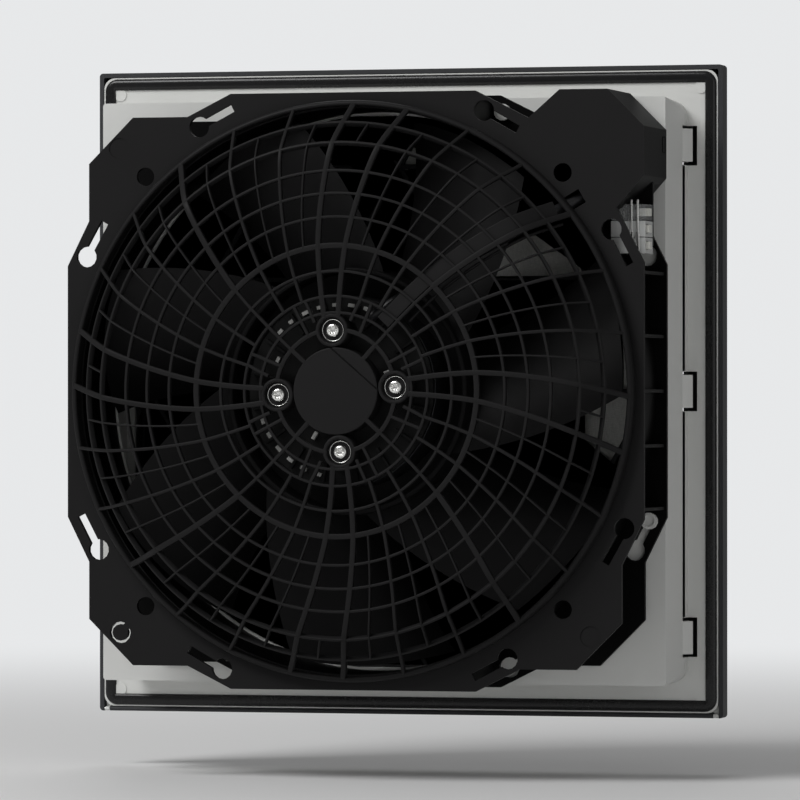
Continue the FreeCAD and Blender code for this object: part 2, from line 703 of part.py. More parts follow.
def terminal_box():
    """Corner box between the flanges, open towards the far side, with a foot for the terminal block."""
    y1 = Y_FAR_FACE - FACE_GAP - BOX_LID_WALL
    around = disc(BARREL_RADIUS + FACE_GAP, Y_NEAR_BACK, y1)
    outside = prism(box_outline(0.0), Y_NEAR_BACK, y1).cut(around)
    clear = disc(BARREL_RADIUS + FACE_GAP + BOX_WALL, Y_NEAR_BACK, y1)
    inside = prism(box_outline(BOX_WALL), Y_NEAR_BACK, y1).cut(clear)
    box = outside.cut(inside)
    latch = slab(
        FAN_HALF - BOX_WALL / 2, FAN_HALF, y1 - BOX_LATCH_DEPTH, y1,
        BOX_LATCH_CENTRE - BOX_LATCH_HEIGHT / 2, BOX_LATCH_CENTRE + BOX_LATCH_HEIGHT / 2,
    )
    y_foot = Y_BLOCK_BACK
    foot = slab(
        BLOCK_LEFT + BLOCK_WIDTH / 4, BLOCK_LEFT + BLOCK_WIDTH, y_foot, y_foot + FOOT_WALL,
        BLOCK_TOP - (WAY_COUNT - 0.5) * WAY_PITCH, BOX_LOW - BOX_WALL,
    )
    solid_base = prism(box_outline(0.0), Y_BLOCK, y_foot + FOOT_WALL).common(
        slab(BLOCK_LEFT, FAN_HALF, Y_BLOCK, y_foot + FOOT_WALL, BLOCK_TOP, BOX_LOW)
    ).cut(clear)
    room = slab(
        BLOCK_LEFT - FACE_GAP, FAN_HALF, Y_BLOCK - FACE_GAP, y_foot, BLOCK_TOP - 2 * WAY_COUNT * WAY_PITCH,
        BLOCK_TOP,
    )
    box = fused([box.cut(room), foot, solid_base])
    return box.cut([latch, lead_notch()] + contacts())


def terminal_box_lid():
    """Flat lid on the far side of the terminal box, with a latch in the box's side notch."""
    y0 = Y_FAR_FACE - FACE_GAP - BOX_LID_WALL
    around = disc(BARREL_RADIUS + FACE_GAP, y0, y0 + BOX_LID_WALL)
    lid = prism(box_outline(0.0), y0, y0 + BOX_LID_WALL).cut(around)
    half = BOX_LATCH_HEIGHT / 2 - FACE_GAP
    latch = slab(
        FAN_HALF - BOX_WALL / 2, FAN_HALF - 0.2, y0 - BOX_LATCH_DEPTH + 2.5, y0 + BOX_LID_WALL,
        BOX_LATCH_CENTRE - half, BOX_LATCH_CENTRE + half,
    )
    return lid.fuse(latch).removeSplitter()


def way_places():
    """Height of the middle of each pole of the terminal block, from the top down."""
    return [BLOCK_TOP - (i + 0.5) * WAY_PITCH for i in range(WAY_COUNT)]


def terminal_block():
    """Stack of clear poles, each with a wire bore and a button pocket in its right face."""
    x1 = BLOCK_LEFT + BLOCK_WIDTH
    y_bore = Y_BLOCK_BACK - WIRE_BORE_INSET
    y_button = Y_BLOCK + BUTTON_INSET
    tall = BUTTON_HEIGHT / 2 + FACE_GAP
    wide = BUTTON_WIDTH / 2 + FACE_GAP
    deep = BUTTON_LENGTH - BUTTON_STAND + BUTTON_TRAVEL + FACE_GAP
    poles = []
    for z in way_places():
        half = (WAY_PITCH - FACE_GAP) / 2
        pole = slab(BLOCK_LEFT, x1, Y_BLOCK, Y_BLOCK_BACK, z - half, z + half)
        bore = Part.makeCylinder(
            WIRE_BORE_RADIUS, WIRE_BORE_DEPTH, V(x1 - WIRE_BORE_DEPTH, y_bore, z), V(1, 0, 0)
        )
        pocket = slab(x1 - deep, x1, y_button - tall, y_button + tall, z - wide, z + wide)
        poles.append(pole.cut([bore, pocket] + contacts()))
    return Part.makeCompound(poles)


def contacts():
    """Contact strips that stand in the poles and reach up into the box."""
    y0 = Y_BLOCK_BACK - WIRE_BORE_INSET - CONTACT_WIDTH / 2
    strips = []
    for i, z in enumerate(way_places()):
        x0 = BLOCK_LEFT + CONTACT_INSET + i * CONTACT_PITCH
        strips.append(slab(x0, x0 + CONTACT_WALL, y0, y0 + CONTACT_WIDTH, z - CONTACT_WIDTH / 2, BOX_LOW))
    return strips


def release_button(index):
    """Small button that is pushed into its pole to open the spring clamp."""
    x1 = BLOCK_LEFT + BLOCK_WIDTH + BUTTON_STAND
    y = Y_BLOCK + BUTTON_INSET
    z = way_places()[index]
    half, tall = BUTTON_WIDTH / 2, BUTTON_HEIGHT / 2
    return slab(x1 - BUTTON_LENGTH, x1, y - tall, y + tall, z - half, z + half)


def spoke_angle(rim_angle, radius):
    """Angle at which a spoke crosses a radius: it trails back evenly towards the hub."""
    return rim_angle + GUARD_SWEEP * (GUARD_RIM - radius)


def guard_spokes(thinner):
    """Rim angle and width of each spoke of a quarter, the thick ones and the given thinner ones."""
    thick = [(angle, THICK_SPOKE_WIDTH) for angle in GUARD_THICK_SPOKES]
    return sorted(thick + [(angle, SPOKE_WIDTH) for angle in thinner])


def guard_cell(r0, r1, first, second):
    """Outline of one opening between two rings and two neighbouring (rim angle, width) spokes."""

    def at(radius, spoke, side):
        rim_angle, width = spoke
        return spoke_angle(rim_angle, radius) + math.degrees(width / 2 / radius) * side

    a0, b0 = at(r0, first, 1), at(r0, second, -1)
    a1, b1 = at(r1, first, 1), at(r1, second, -1)
    corners_in_turn = [polar(r0, a0, 0), polar(r0, b0, 0), polar(r1, b1, 0), polar(r1, a1, 0)]
    return Part.makePolygon(corners_in_turn + corners_in_turn[:1])


def guard_zone(rings, spokes):
    """Openings between a row of (radius, width) rings and a quarter's (rim angle, width) spokes."""
    cells = []
    turns = [(angle + 90 * turn, width) for turn in range(4) for angle, width in spokes]
    turns.append((turns[0][0] + 360, turns[0][1]))
    for (r0, w0), (r1, w1) in zip(rings, rings[1:]):
        for a, b in zip(turns, turns[1:]):
            cells.append(guard_cell(r0 + w0 / 2, r1 - w1 / 2, a, b))
    return cells


def screw_places():
    """Centres of the four guard screws."""
    return [polar(SCREW_CIRCLE, SCREW_TURN + 90 * turn, 0) for turn in range(4)]


def finger_guard():
    """Domed grille of rings and trailing spokes, with a collar on the flange and bosses at the hub."""
    y_collar = Y_NEAR_FACE - GUARD_COLLAR
    rim_out = GUARD_RIM + GUARD_COLLAR_WALL / 2
    rim_in = GUARD_RIM - GUARD_COLLAR_WALL / 2
    start = SCREW_CIRCLE - RING_WIDTH
    ridges = [angle + GUARD_SWEEP * (GUARD_RIM - GUARD_FLAT_RADIUS) / 2 + 90 * turn
              for turn in range(4) for angle, width in guard_spokes(GUARD_THIN_SPOKES)]
    dome = faceted([
        (start, Y_GUARD),
        (GUARD_FLAT_RADIUS, Y_GUARD),
        (rim_out, y_collar + GUARD_COLLAR_WALL / 2),
        (rim_out, Y_NEAR_FACE),
        (rim_in, Y_NEAR_FACE),
        (rim_in, y_collar + GUARD_COLLAR_WALL),
        (GUARD_FLAT_RADIUS - GUARD_WALL / 2, Y_GUARD_INSIDE),
        (start, Y_GUARD_INSIDE),
    ], ridges)
    inner = [(SCREW_CIRCLE, 2 * RING_WIDTH), (GUARD_INNER_RING, RING_WIDTH)]
    span = GUARD_RIM - GUARD_THICK_RING
    outer = [(GUARD_INNER_RING, RING_WIDTH), (GUARD_THICK_RING, THICK_RING_WIDTH)]
    outer += [(GUARD_THICK_RING + share * span, RING_WIDTH) for share in GUARD_OUTER_RING_SHARES]
    outer.append((GUARD_RIM, GUARD_COLLAR_WALL))
    cells = guard_zone(inner, guard_spokes(GUARD_SHORT_SPOKES))
    cells += guard_zone(outer, guard_spokes(GUARD_THIN_SPOKES))
    rim = Part.Wire(Part.makeCircle(GUARD_RIM + 10, V(0, 0, 0), Y_AXIS))
    sheet = Part.makeFace([rim] + cells, "Part::FaceMakerCheese")
    grille = dome.common(sheet.extrude(V(0, Y_GUARD - 1, 0)))
    bosses, bores = [], []
    y_seat = Y_GUARD + COUNTERBORE_DEPTH
    for at in screw_places():
        bosses.append(many_sided(BOSS_RADIUS, 2 * MORE_SIDES, Y_GUARD, Y_GUARD + BOSS_DEPTH, at.x, at.z))
        bores.append(many_sided(SCREW_RADIUS, FEW_SIDES, y_seat, Y_GUARD + BOSS_DEPTH, at.x, at.z))
        bores.append(many_sided(COUNTERBORE_RADIUS, MORE_SIDES, Y_GUARD, y_seat, at.x, at.z))
    return fused([grille] + bosses).cut(bores + [lead_notch()])


def guard_screws():
    """Screws that hold the motor under the guard's bosses."""
    screws = []
    y_seat = Y_GUARD + COUNTERBORE_DEPTH
    y_top = y_seat - SCREW_HEAD_HEIGHT
    for at in screw_places():
        shank = many_sided(SCREW_RADIUS, FEW_SIDES, y_seat, y_seat + SCREW_LENGTH, at.x, at.z)
        head = many_sided(SCREW_HEAD_RADIUS, MORE_SIDES, y_top, y_seat, at.x, at.z)
        socket = many_sided(SCREW_SOCKET, FEW_SIDES, y_top, y_top + SCREW_SOCKET_DEPTH, at.x, at.z)
        screws.append(fused([shank, head]).cut(socket))
    return Part.makeCompound(screws)


def motor_flange_face():
    """Plane of the motor flange's near face, below the guard's bosses."""
    return Y_GUARD + BOSS_DEPTH


def tube_end():
    """Plane where the bearing tube ends, beyond the inner bearing."""
    return bearing_starts()[1] + BEARING_WIDTH


def bearing_starts():
    """Near faces of the two bearings."""
    first = motor_flange_face() + MOTOR_FLANGE_WALL
    return [first, first + BEARING_SPACING]


def hub_cap():
    """Smooth drum over the middle of the motor, flush with the guard."""
    return many_sided(HUB_CAP_RADIUS, DRUM_SIDES, Y_GUARD, motor_flange_face())


def motor_flange():
    """Cast carrier of the stator: finned disc, lead gland and bearing tube."""
    y0 = motor_flange_face()
    y1 = y0 + MOTOR_FLANGE_WALL
    tube_out = BEARING_OUTSIDE / 2 + TUBE_WALL
    seat = BEARING_OUTSIDE / 2
    plate = many_sided(MOTOR_FLANGE_RADIUS, DRUM_SIDES, y0, y1)
    tube = many_sided(tube_out, MORE_SIDES, y1, tube_end()).cut(many_sided(seat, MORE_SIDES, y1, tube_end()))
    body = plate.fuse(tube)
    fins = []
    for k in range(FIN_COUNT):
        fin = slab(FIN_INNER, MOTOR_FLANGE_RADIUS - FIN_WALL, y0 - FIN_HEIGHT, y0, -FIN_WALL / 2, FIN_WALL / 2)
        fin.rotate(V(0, 0, 0), Y_AXIS, 360.0 / FIN_COUNT * (k + 0.5))
        fins.append(fin)
    start = lead_points()[0]
    heading = lead_heading()
    gland = slab(-GLAND_LENGTH, 0, start.y - LEAD_RADIUS, y0, -GLAND_LENGTH / 2, GLAND_LENGTH / 2)
    gland.rotate(V(0, 0, 0), Y_AXIS, -LEAD_DIRECTION)
    gland.translate(V(start.x, 0, start.z))
    holes = [many_sided(SCREW_RADIUS, FEW_SIDES, y0 - FIN_HEIGHT, y1, at.x, at.z) for at in screw_places()]
    pads = [
        many_sided(BOSS_RADIUS + FACE_GAP, MORE_SIDES, y0 - FIN_HEIGHT - 1, y0, at.x, at.z)
        for at in screw_places()
    ]
    duct = slab(0, DUCT_LENGTH, start.y - LEAD_RADIUS, y0, -duct_half() - FACE_GAP, duct_half() + FACE_GAP)
    duct.rotate(V(0, 0, 0), Y_AXIS, -LEAD_DIRECTION)
    duct.translate(V(start.x, 0, start.z))
    return body.fuse([gland] + fins).cut(pads + holes + [duct]).removeSplitter()


def bearings():
    """Two ball bearings, whose bores have running room round the shaft."""
    seat, bore = BEARING_OUTSIDE / 2, BEARING_BORE / 2 + RUNNING_GAP
    return Part.makeCompound([
        many_sided(seat, MORE_SIDES, y, y + BEARING_WIDTH).cut(disc(bore, y, y + BEARING_WIDTH))
        for y in bearing_starts()
    ])


def shaft_end():
    """Plane where the shaft ends in the rotor's end wall."""
    return rotor_start() + ROTOR_LENGTH


def rotor_start():
    """Open end of the rotor cup."""
    return motor_flange_face() + MOTOR_FLANGE_WALL + ROTOR_GAP


def shaft():
    """Steel shaft from the outer bearing to the rotor's end wall."""
    return disc(BEARING_BORE / 2, bearing_starts()[0] + FACE_GAP, shaft_end() + SHAFT_STUB)


def stator_centre():
    """Middle of the stator along the axis."""
    return (bearing_starts()[0] + tube_end()) / 2


def stator_core():
    """Laminated core with open slots round its rim, pressed on the bearing tube."""
    tube_out = BEARING_OUTSIDE / 2 + TUBE_WALL
    y0 = stator_centre() - STATOR_LENGTH / 2
    y1 = y0 + STATOR_LENGTH
    core = many_sided(STATOR_RADIUS, 2 * STATOR_TEETH, y0, y1).cut(many_sided(tube_out, MORE_SIDES, y0, y1))
    slots = []
    for k in range(STATOR_TEETH):
        slot = slab(tube_out + STATOR_YOKE, STATOR_RADIUS + AIR_GAP, y0, y1, -STATOR_SLOT_WIDTH / 2,
                    STATOR_SLOT_WIDTH / 2)
        slot.rotate(V(0, 0, 0), Y_AXIS, 360.0 / STATOR_TEETH * k)
        slots.append(slot)
    return core.cut(slots)


def stator_windings():
    """Heads of the copper coils, one on each side of every tooth."""
    inner = BEARING_OUTSIDE / 2 + TUBE_WALL + STATOR_YOKE
    coils = []
    for k in range(STATOR_TEETH):
        for side in (1, -1):
            y = stator_centre() + side * STATOR_LENGTH / 2
            y0, y1 = sorted((y, y + side * WINDING_HEIGHT))
            coil = slab(inner, WINDING_RADIUS, y0, y1, -COIL_WIDTH / 2, COIL_WIDTH / 2)
            coil.rotate(V(0, 0, 0), Y_AXIS, 360.0 / STATOR_TEETH * (k + 0.5))
            coils.append(coil)
    return Part.makeCompound(coils)


def rotor_cup():
    """Steel cup that turns round the stator, its end wall pressed on the shaft."""
    y0 = rotor_start()
    y1 = y0 + ROTOR_LENGTH
    bore = STATOR_RADIUS + AIR_GAP
    shaft_r = BEARING_BORE / 2
    outside = many_sided(ROTOR_RADIUS, DRUM_SIDES, y0, y1)
    inside = many_sided(bore, DRUM_SIDES, y0, y1 - ROTOR_END_WALL)
    return outside.cut([inside, disc(shaft_r, y0, y1)])


def blade():
    """One cambered blade: an arc profile carried straight outwards, then leaned forward about its root."""
    stagger = math.radians(BLADE_STAGGER)
    along = V(0, math.cos(stagger), math.sin(stagger))
    normal = V(0, -math.sin(stagger), math.cos(stagger))
    centre = V(HUB_RADIUS - HUB_WALL, BLADE_MIDDLE, 0)
    outline = []
    for side in (1, -1):
        for t in (-1.0, -0.55, 0.0, 0.55):
            rise = BLADE_CAMBER * (1 - t**2) + side * BLADE_THICKNESS / 2 * (1 - t**2)
            outline.append(centre + along * (side * t * BLADE_CHORD / 2) + normal * rise)
    face = Part.Face(Part.makePolygon(outline + outline[:1]))
    solid = face.extrude(V(1.3 * (TIP_RADIUS - HUB_RADIUS), 0, 0))
    solid.rotate(centre, Y_AXIS, -BLADE_LEAN)
    return solid


def impeller():
    """Seven blades on a drum, their leading and trailing edges following the duct."""
    y0 = rotor_start() + HUB_SIDE_GAP
    y1 = rotor_start() + ROTOR_LENGTH
    hub = many_sided(HUB_RADIUS, DRUM_SIDES, y0, y1).cut([
        many_sided(HUB_RADIUS - HUB_WALL, DRUM_SIDES, y0, y1 - HUB_WEB),
        many_sided(ROTOR_RADIUS, DRUM_SIDES, y0, y1),
    ])
    envelope = faceted([
        (HUB_RADIUS - HUB_WALL / 2, y0 - FACE_GAP), (TIP_RADIUS, Y_NEAR_FACE + BLADE_SETBACK),
        (TIP_RADIUS, Y_FAR_BACK - BLADE_SETBACK), (HUB_RADIUS - HUB_WALL / 2, y1),
    ], [360.0 / DRUM_SIDES * k for k in range(DRUM_SIDES)])
    one = blade().common(envelope)
    blades = []
    for k in range(BLADE_COUNT):
        copy = one.copy()
        copy.rotate(V(0, 0, 0), Y_AXIS, 360.0 / BLADE_COUNT * k)
        blades.append(copy)
    return fused([hub] + blades)


def lead_heading():
    """Direction of the motor lead in the plane of the guard."""
    a = math.radians(LEAD_DIRECTION)
    return V(math.cos(a), 0, math.sin(a))


def lead_points():
    """Route of the motor lead from the motor's gland, under the guard and down into the box."""
    heading = lead_heading()
    x, z = LEAD_START
    return [V(x, -depth, z) + heading * along for along, depth in LEAD_STATIONS]


def motor_lead():
    """Round lead along straight runs joined by tangent arcs."""
    points = lead_points()
    edges = []
    start = points[0]
    for before, corner, after in zip(points, points[1:], points[2:]):
        back = (before - corner).normalize()
        ahead = (after - corner).normalize()
        half_turn = (math.pi - back.getAngle(ahead)) / 2
        reach = 0.45 * min((before - corner).Length, (after - corner).Length)
        radius = reach / math.tan(half_turn)
        entry = corner + back * reach
        leave = corner + ahead * reach
        bisector = (back + ahead).normalize()
        middle = corner + bisector * (radius / math.cos(half_turn) - radius)
        edges.append(Part.LineSegment(start, entry).toShape())
        edges.append(Part.Arc(entry, middle, leave).toShape())
        start = leave
        print("lead bend radius", round(radius, 1))
    edges.append(Part.LineSegment(start, points[-1]).toShape())
    path = Part.Wire(edges)
    ahead = (points[1] - points[0]).normalize()
    across = Y_AXIS.cross(ahead)
    up = ahead.cross(across)
    turn = 2 * math.pi / LEAD_SIDES
    reach = LEAD_RADIUS / math.cos(turn / 2)
    rim = [
        points[0] + across * (reach * math.cos(turn * (k + 0.5))) + up * (reach * math.sin(turn * (k + 0.5)))
        for k in range(LEAD_SIDES)
    ]
    lead = path.makePipeShell([Part.makePolygon(rim + rim[:1])], True, False)
    print("lead length", round(path.Length, 1))
    return lead


def duct_half():
    """Half the outside width of the cable duct."""
    return LEAD_RADIUS + FACE_GAP + DUCT_WALL


def cable_duct():
    """Channel under the guard's spokes, open towards the motor side, that hides the lead."""
    x, z = LEAD_START
    half = duct_half()
    y0 = Y_GUARD_INSIDE
    y1 = -LEAD_STATIONS[0][1] + LEAD_RADIUS
    body = slab(0, DUCT_LENGTH, y0, y1, -half, half).cut(
        slab(0, DUCT_LENGTH, y0 + DUCT_WALL, y1, DUCT_WALL - half, half - DUCT_WALL)
    )
    body.rotate(V(0, 0, 0), Y_AXIS, -LEAD_DIRECTION)
    body.translate(V(x, 0, z))
    bosses = [many_sided(BOSS_RADIUS + FACE_GAP, MORE_SIDES, y0, y1, at.x, at.z) for at in screw_places()]
    return body.cut(bosses)


def build_line(shape):
    """Volume, faces and solids of a shape, for the build log."""
    return f"{shape.Volume:12.1f} mm3 {len(shape.Faces):5d} faces {len(shape.Solids):3d} solids"


def all_nodes():
    """Every piece by its name."""
    nodes = {
        "front_cover": front_cover(),
        "hinge_brackets": hinge_brackets(),
        "hinge_pins": hinge_pins(),
        "mounting_frame": mounting_frame(),
        "panel_seal": panel_seal(),
        "filter_mat": filter_mat(),
        "filter_support_grid": filter_support_grid(),
        "fan_housing": fan_housing(),
        "finger_guard": finger_guard(),
        "guard_screws": guard_screws(),
        "hub_cap": hub_cap(),
        "cable_duct": cable_duct(),
        "motor_lead": motor_lead(),
        "motor_flange": motor_flange(),
        "bearings": bearings(),
        "shaft": shaft(),
        "stator_core": stator_core(),
        "stator_windings": stator_windings(),
        "rotor_cup": rotor_cup(),
        "impeller": impeller(),
        "terminal_box": terminal_box(),
        "terminal_box_lid": terminal_box_lid(),
        "terminal_block": terminal_block(),
        "terminal_contacts": Part.makeCompound(contacts()),
    }
    for index in range(WAY_COUNT):
        nodes[f"release_button_{index + 1}"] = release_button(index)
    return nodes


os.makedirs("parts", exist_ok=True)
for name, shape in all_nodes().items():
    print(name, build_line(shape))
    shape.exportStep(f"parts/{name}.step")
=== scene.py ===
"""Looks of an enclosure filter fan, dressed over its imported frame.

The unit is clipped into the square cut-out of an enclosure wall and is seen from inside the enclosure.
Sizes are in millimetres in the classes below and become metres where a mesh is written.
+X is right and +Z up as seen from inside, -Y points at the viewer, and the fan's axis lies on Y.
"""

from __future__ import annotations

import json
import logging
import math
from dataclasses import dataclass, field
from enum import Enum
from functools import partial
from typing import Any, Callable, Optional, Union

import bmesh
import bpy
import numpy as np
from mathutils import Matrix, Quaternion, Vector

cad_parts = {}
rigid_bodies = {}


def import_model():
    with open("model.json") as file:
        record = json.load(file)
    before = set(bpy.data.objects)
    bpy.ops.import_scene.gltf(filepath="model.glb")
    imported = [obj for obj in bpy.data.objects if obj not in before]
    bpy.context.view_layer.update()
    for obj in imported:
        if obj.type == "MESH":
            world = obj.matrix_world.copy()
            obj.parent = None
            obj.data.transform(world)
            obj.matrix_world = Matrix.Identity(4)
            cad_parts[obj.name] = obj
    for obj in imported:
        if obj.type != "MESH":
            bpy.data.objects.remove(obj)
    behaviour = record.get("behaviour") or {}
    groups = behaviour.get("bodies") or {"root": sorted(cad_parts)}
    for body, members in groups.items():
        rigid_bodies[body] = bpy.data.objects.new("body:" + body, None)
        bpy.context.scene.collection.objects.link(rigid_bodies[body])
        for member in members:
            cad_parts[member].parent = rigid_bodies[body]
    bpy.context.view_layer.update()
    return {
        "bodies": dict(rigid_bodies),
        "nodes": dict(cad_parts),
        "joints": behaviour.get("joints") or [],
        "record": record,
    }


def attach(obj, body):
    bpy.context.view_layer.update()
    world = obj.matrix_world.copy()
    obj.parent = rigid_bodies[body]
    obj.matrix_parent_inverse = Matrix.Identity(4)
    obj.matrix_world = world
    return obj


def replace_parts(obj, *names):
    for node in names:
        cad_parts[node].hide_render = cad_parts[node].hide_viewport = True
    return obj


LOG = logging.getLogger("filter_fan")
MM = 0.001
SMOOTH_ANGLE = 50.0
EDGE_ANGLE = 32.0
NEAR_FACE = -100.2
NEAR_FLANGE_BACK = -99.4
Array = np.ndarray
Colour = tuple[float, float, float]
Place = tuple[float, float, float]
Pairs = tuple[tuple[float, float], ...]
X_AXIS = np.array([1.0, 0.0, 0.0])
Y_AXIS = np.array([0.0, 1.0, 0.0])


class Body(Enum):
    """Moving bodies of the unit."""

    FRAME = "frame_unit"
    COVER = "cover"
    FAN = "fan_unit"
    ROTOR = "rotor"


class Surface(Enum):
    """Ways in which a finish breaks up the light."""

    MOULDED = "moulded"
    CAST_SEAL = "cast seal"
    METAL = "metal"
    CASTING = "casting"
    FLEECE = "fleece"
    CLEAR = "clear"
    ENAMEL = "enamel"


@dataclass(frozen=True)
class Finish:
    """One material of the unit.

    grain and depth are the size and the height of the surface texture in millimetres, and mottle is the
    share by which the colour drifts. gloss is the specular level. The last field, a share of the colour that
    is taken away behind the fan's near flange, is painted shade that stands in for the shadow there.
    """

    name: str
    slot: str
    colour: Colour
    roughness: float
    surface: Surface
    metallic: float = 0.0
    coat: float = 0.0
    grain: float = 0.45
    depth: float = 0.02
    mottle: float = 0.05
    alpha: float = 1.0
    gloss: float = 0.5
    painted_shade: float = 0.0


CHARCOAL = Finish("charcoal_cover", "charcoal_plastic", (0.034, 0.035, 0.038), 0.52, Surface.MOULDED,
                  grain=0.5, gloss=0.3)
LIGHT_GREY = Finish("light_grey_tray", "light_grey_plastic", (0.70, 0.705, 0.685), 0.42, Surface.MOULDED,
                    mottle=0.02, gloss=0.4)
# Black plastic of the fan; behind the near flange its colour is darkened as painted shade for the shadow
# there.
FAN_BLACK = Finish("fan_black", "black_plastic", (0.0145, 0.0142, 0.0145), 0.46, Surface.MOULDED, grain=0.4,
                   depth=0.03, gloss=0.08, painted_shade=0.88)
# Black plastic of the impeller, darker than the fan's black: painted shade for the dim inside of the housing.
BLADE_SHADED_BLACK = Finish("blade_shaded_black", "black_plastic", (0.0058, 0.0056, 0.0058), 0.50, Surface.MOULDED,
                     grain=0.6, gloss=0.10)
SEAL_BLACK = Finish("seal_black", "seal_rubber", (0.006, 0.006, 0.0065), 0.22, Surface.CAST_SEAL, grain=3.0,
                    depth=0.08, gloss=0.4)
FLEECE_WHITE = Finish("fleece_white", "filter_fleece", (0.74, 0.74, 0.71), 0.95, Surface.FLEECE, grain=0.5,
                      depth=0.5)
GRID_BLACK = Finish("grid_dark", "grid_plastic", (0.020, 0.020, 0.021), 0.50, Surface.MOULDED, gloss=0.2)
ZINC = Finish("bright_zinc", "zinc_steel", (0.86, 0.86, 0.84), 0.22, Surface.METAL, metallic=1.0, grain=0.3)
ROTOR_STEEL = Finish("rotor_steel", "dark_steel", (0.075, 0.075, 0.08), 0.42, Surface.METAL, metallic=1.0)
CAST_BLACK = Finish("cast_black", "cast_black", (0.0055, 0.0055, 0.0055), 0.55, Surface.CASTING, grain=0.8,
                    depth=0.08, gloss=0.12)
CAST_GREY = Finish("cast_grey", "cast_black", (0.30, 0.30, 0.29), 0.40, Surface.CASTING, grain=0.8,
                   depth=0.05)
COPPER = Finish("copper_enamel", "copper_enamel", (0.60, 0.24, 0.10), 0.30, Surface.ENAMEL, metallic=1.0)
CORE_STEEL = Finish("core_steel", "core_steel", (0.34, 0.34, 0.35), 0.42, Surface.ENAMEL, metallic=1.0)
SHEATH = Finish("lead_sheath", "lead_sheath", (0.012, 0.012, 0.013), 0.40, Surface.MOULDED, grain=0.3,
                gloss=0.3)
CLEAR = Finish("clear_pole", "clear_plastic", (0.88, 0.90, 0.90), 0.10, Surface.CLEAR, coat=0.6, alpha=0.22)
POLE_GREY = Finish("pole_grey", "clear_plastic", (0.62, 0.63, 0.62), 0.22, Surface.CLEAR, coat=0.3,
                   alpha=0.92)
BUTTON = Finish("button_ivory", "button_plastic", (0.70, 0.70, 0.65), 0.34, Surface.MOULDED)


class Value:
    """A number on a shader socket, used in plain arithmetic: each operation adds its Math node."""

    def __init__(self, graph: "Graph", socket: bpy.types.NodeSocket) -> None:
        """Keeps the node graph and the socket that carries the number."""
        self.graph = graph
        self.socket = socket

    def _math(self, operation: str, other: Any) -> "Value":
        """Result of a Math node with the named operation on this value and another."""
        return self.graph.add("Math", {"operation": operation}, {0: self, 1: other})[0]

    def __add__(self, other: Any) -> "Value":
        """self + other."""
        return self._math("ADD", other)

    def __mul__(self, other: Any) -> "Value":
        """self * other."""
        return self._math("MULTIPLY", other)

    def above(self, edge: float, width: float) -> "Value":
        """Soft step that runs from 0 at edge to 1 at edge + width."""
        settings = {"interpolation_type": "SMOOTHSTEP"}
        return self.graph.add("MapRange", settings, {0: self, 1: edge, 2: edge + width})[0]


class Outputs:
    """Outputs of one node, as values by index or name."""

    def __init__(self, graph: "Graph", node: bpy.types.Node) -> None:
        """Keeps the graph and its node."""
        self.graph = graph
        self.node = node

    def __getitem__(self, key: Union[int, str]) -> Value:
        """The output as a value."""
        return Value(self.graph, self.node.outputs[key])


class Graph:
    """Node graph of a material or world."""

    def __init__(self, tree: bpy.types.NodeTree) -> None:
        """Empties the tree."""
        self.tree = tree
        tree.nodes.clear()

    def add(self, kind: str, settings: Optional[dict[str, Any]] = None,
            inputs: Optional[dict[Union[int, str], Any]] = None) -> Outputs:
        """Adds any node.

        Args:
            kind: the node's type without the ShaderNode in front.
            settings: its properties, set first.
            inputs: values or links by socket.

        Returns:
            The node's outputs.
        """
        node = self.tree.nodes.new("ShaderNode" + kind)
        for key, value in (settings or {}).items():
            setattr(node, key, value)
        for key, value in (inputs or {}).items():
            socket = node.inputs[key]
            if isinstance(value, Value):
                self.tree.links.new(value.socket, socket)
            else:
                socket.default_value = (*value, 1.0) if self._needs_alpha(socket, value) else value
        return Outputs(self, node)

    @staticmethod
    def _needs_alpha(socket: bpy.types.NodeSocket, value: Any) -> bool:
        """Whether a three-part colour goes to a four-part socket."""
        return socket.type == "RGBA" and len(value) == 3

    def blend(self, share: Union[Value, float], first: Any, second: Any) -> Value:
        """Mixes two colours, with share as the part of the second one."""
        return self.add("Mix", {"data_type": "RGBA"}, {"Factor": share, 6: first, 7: second})[2]


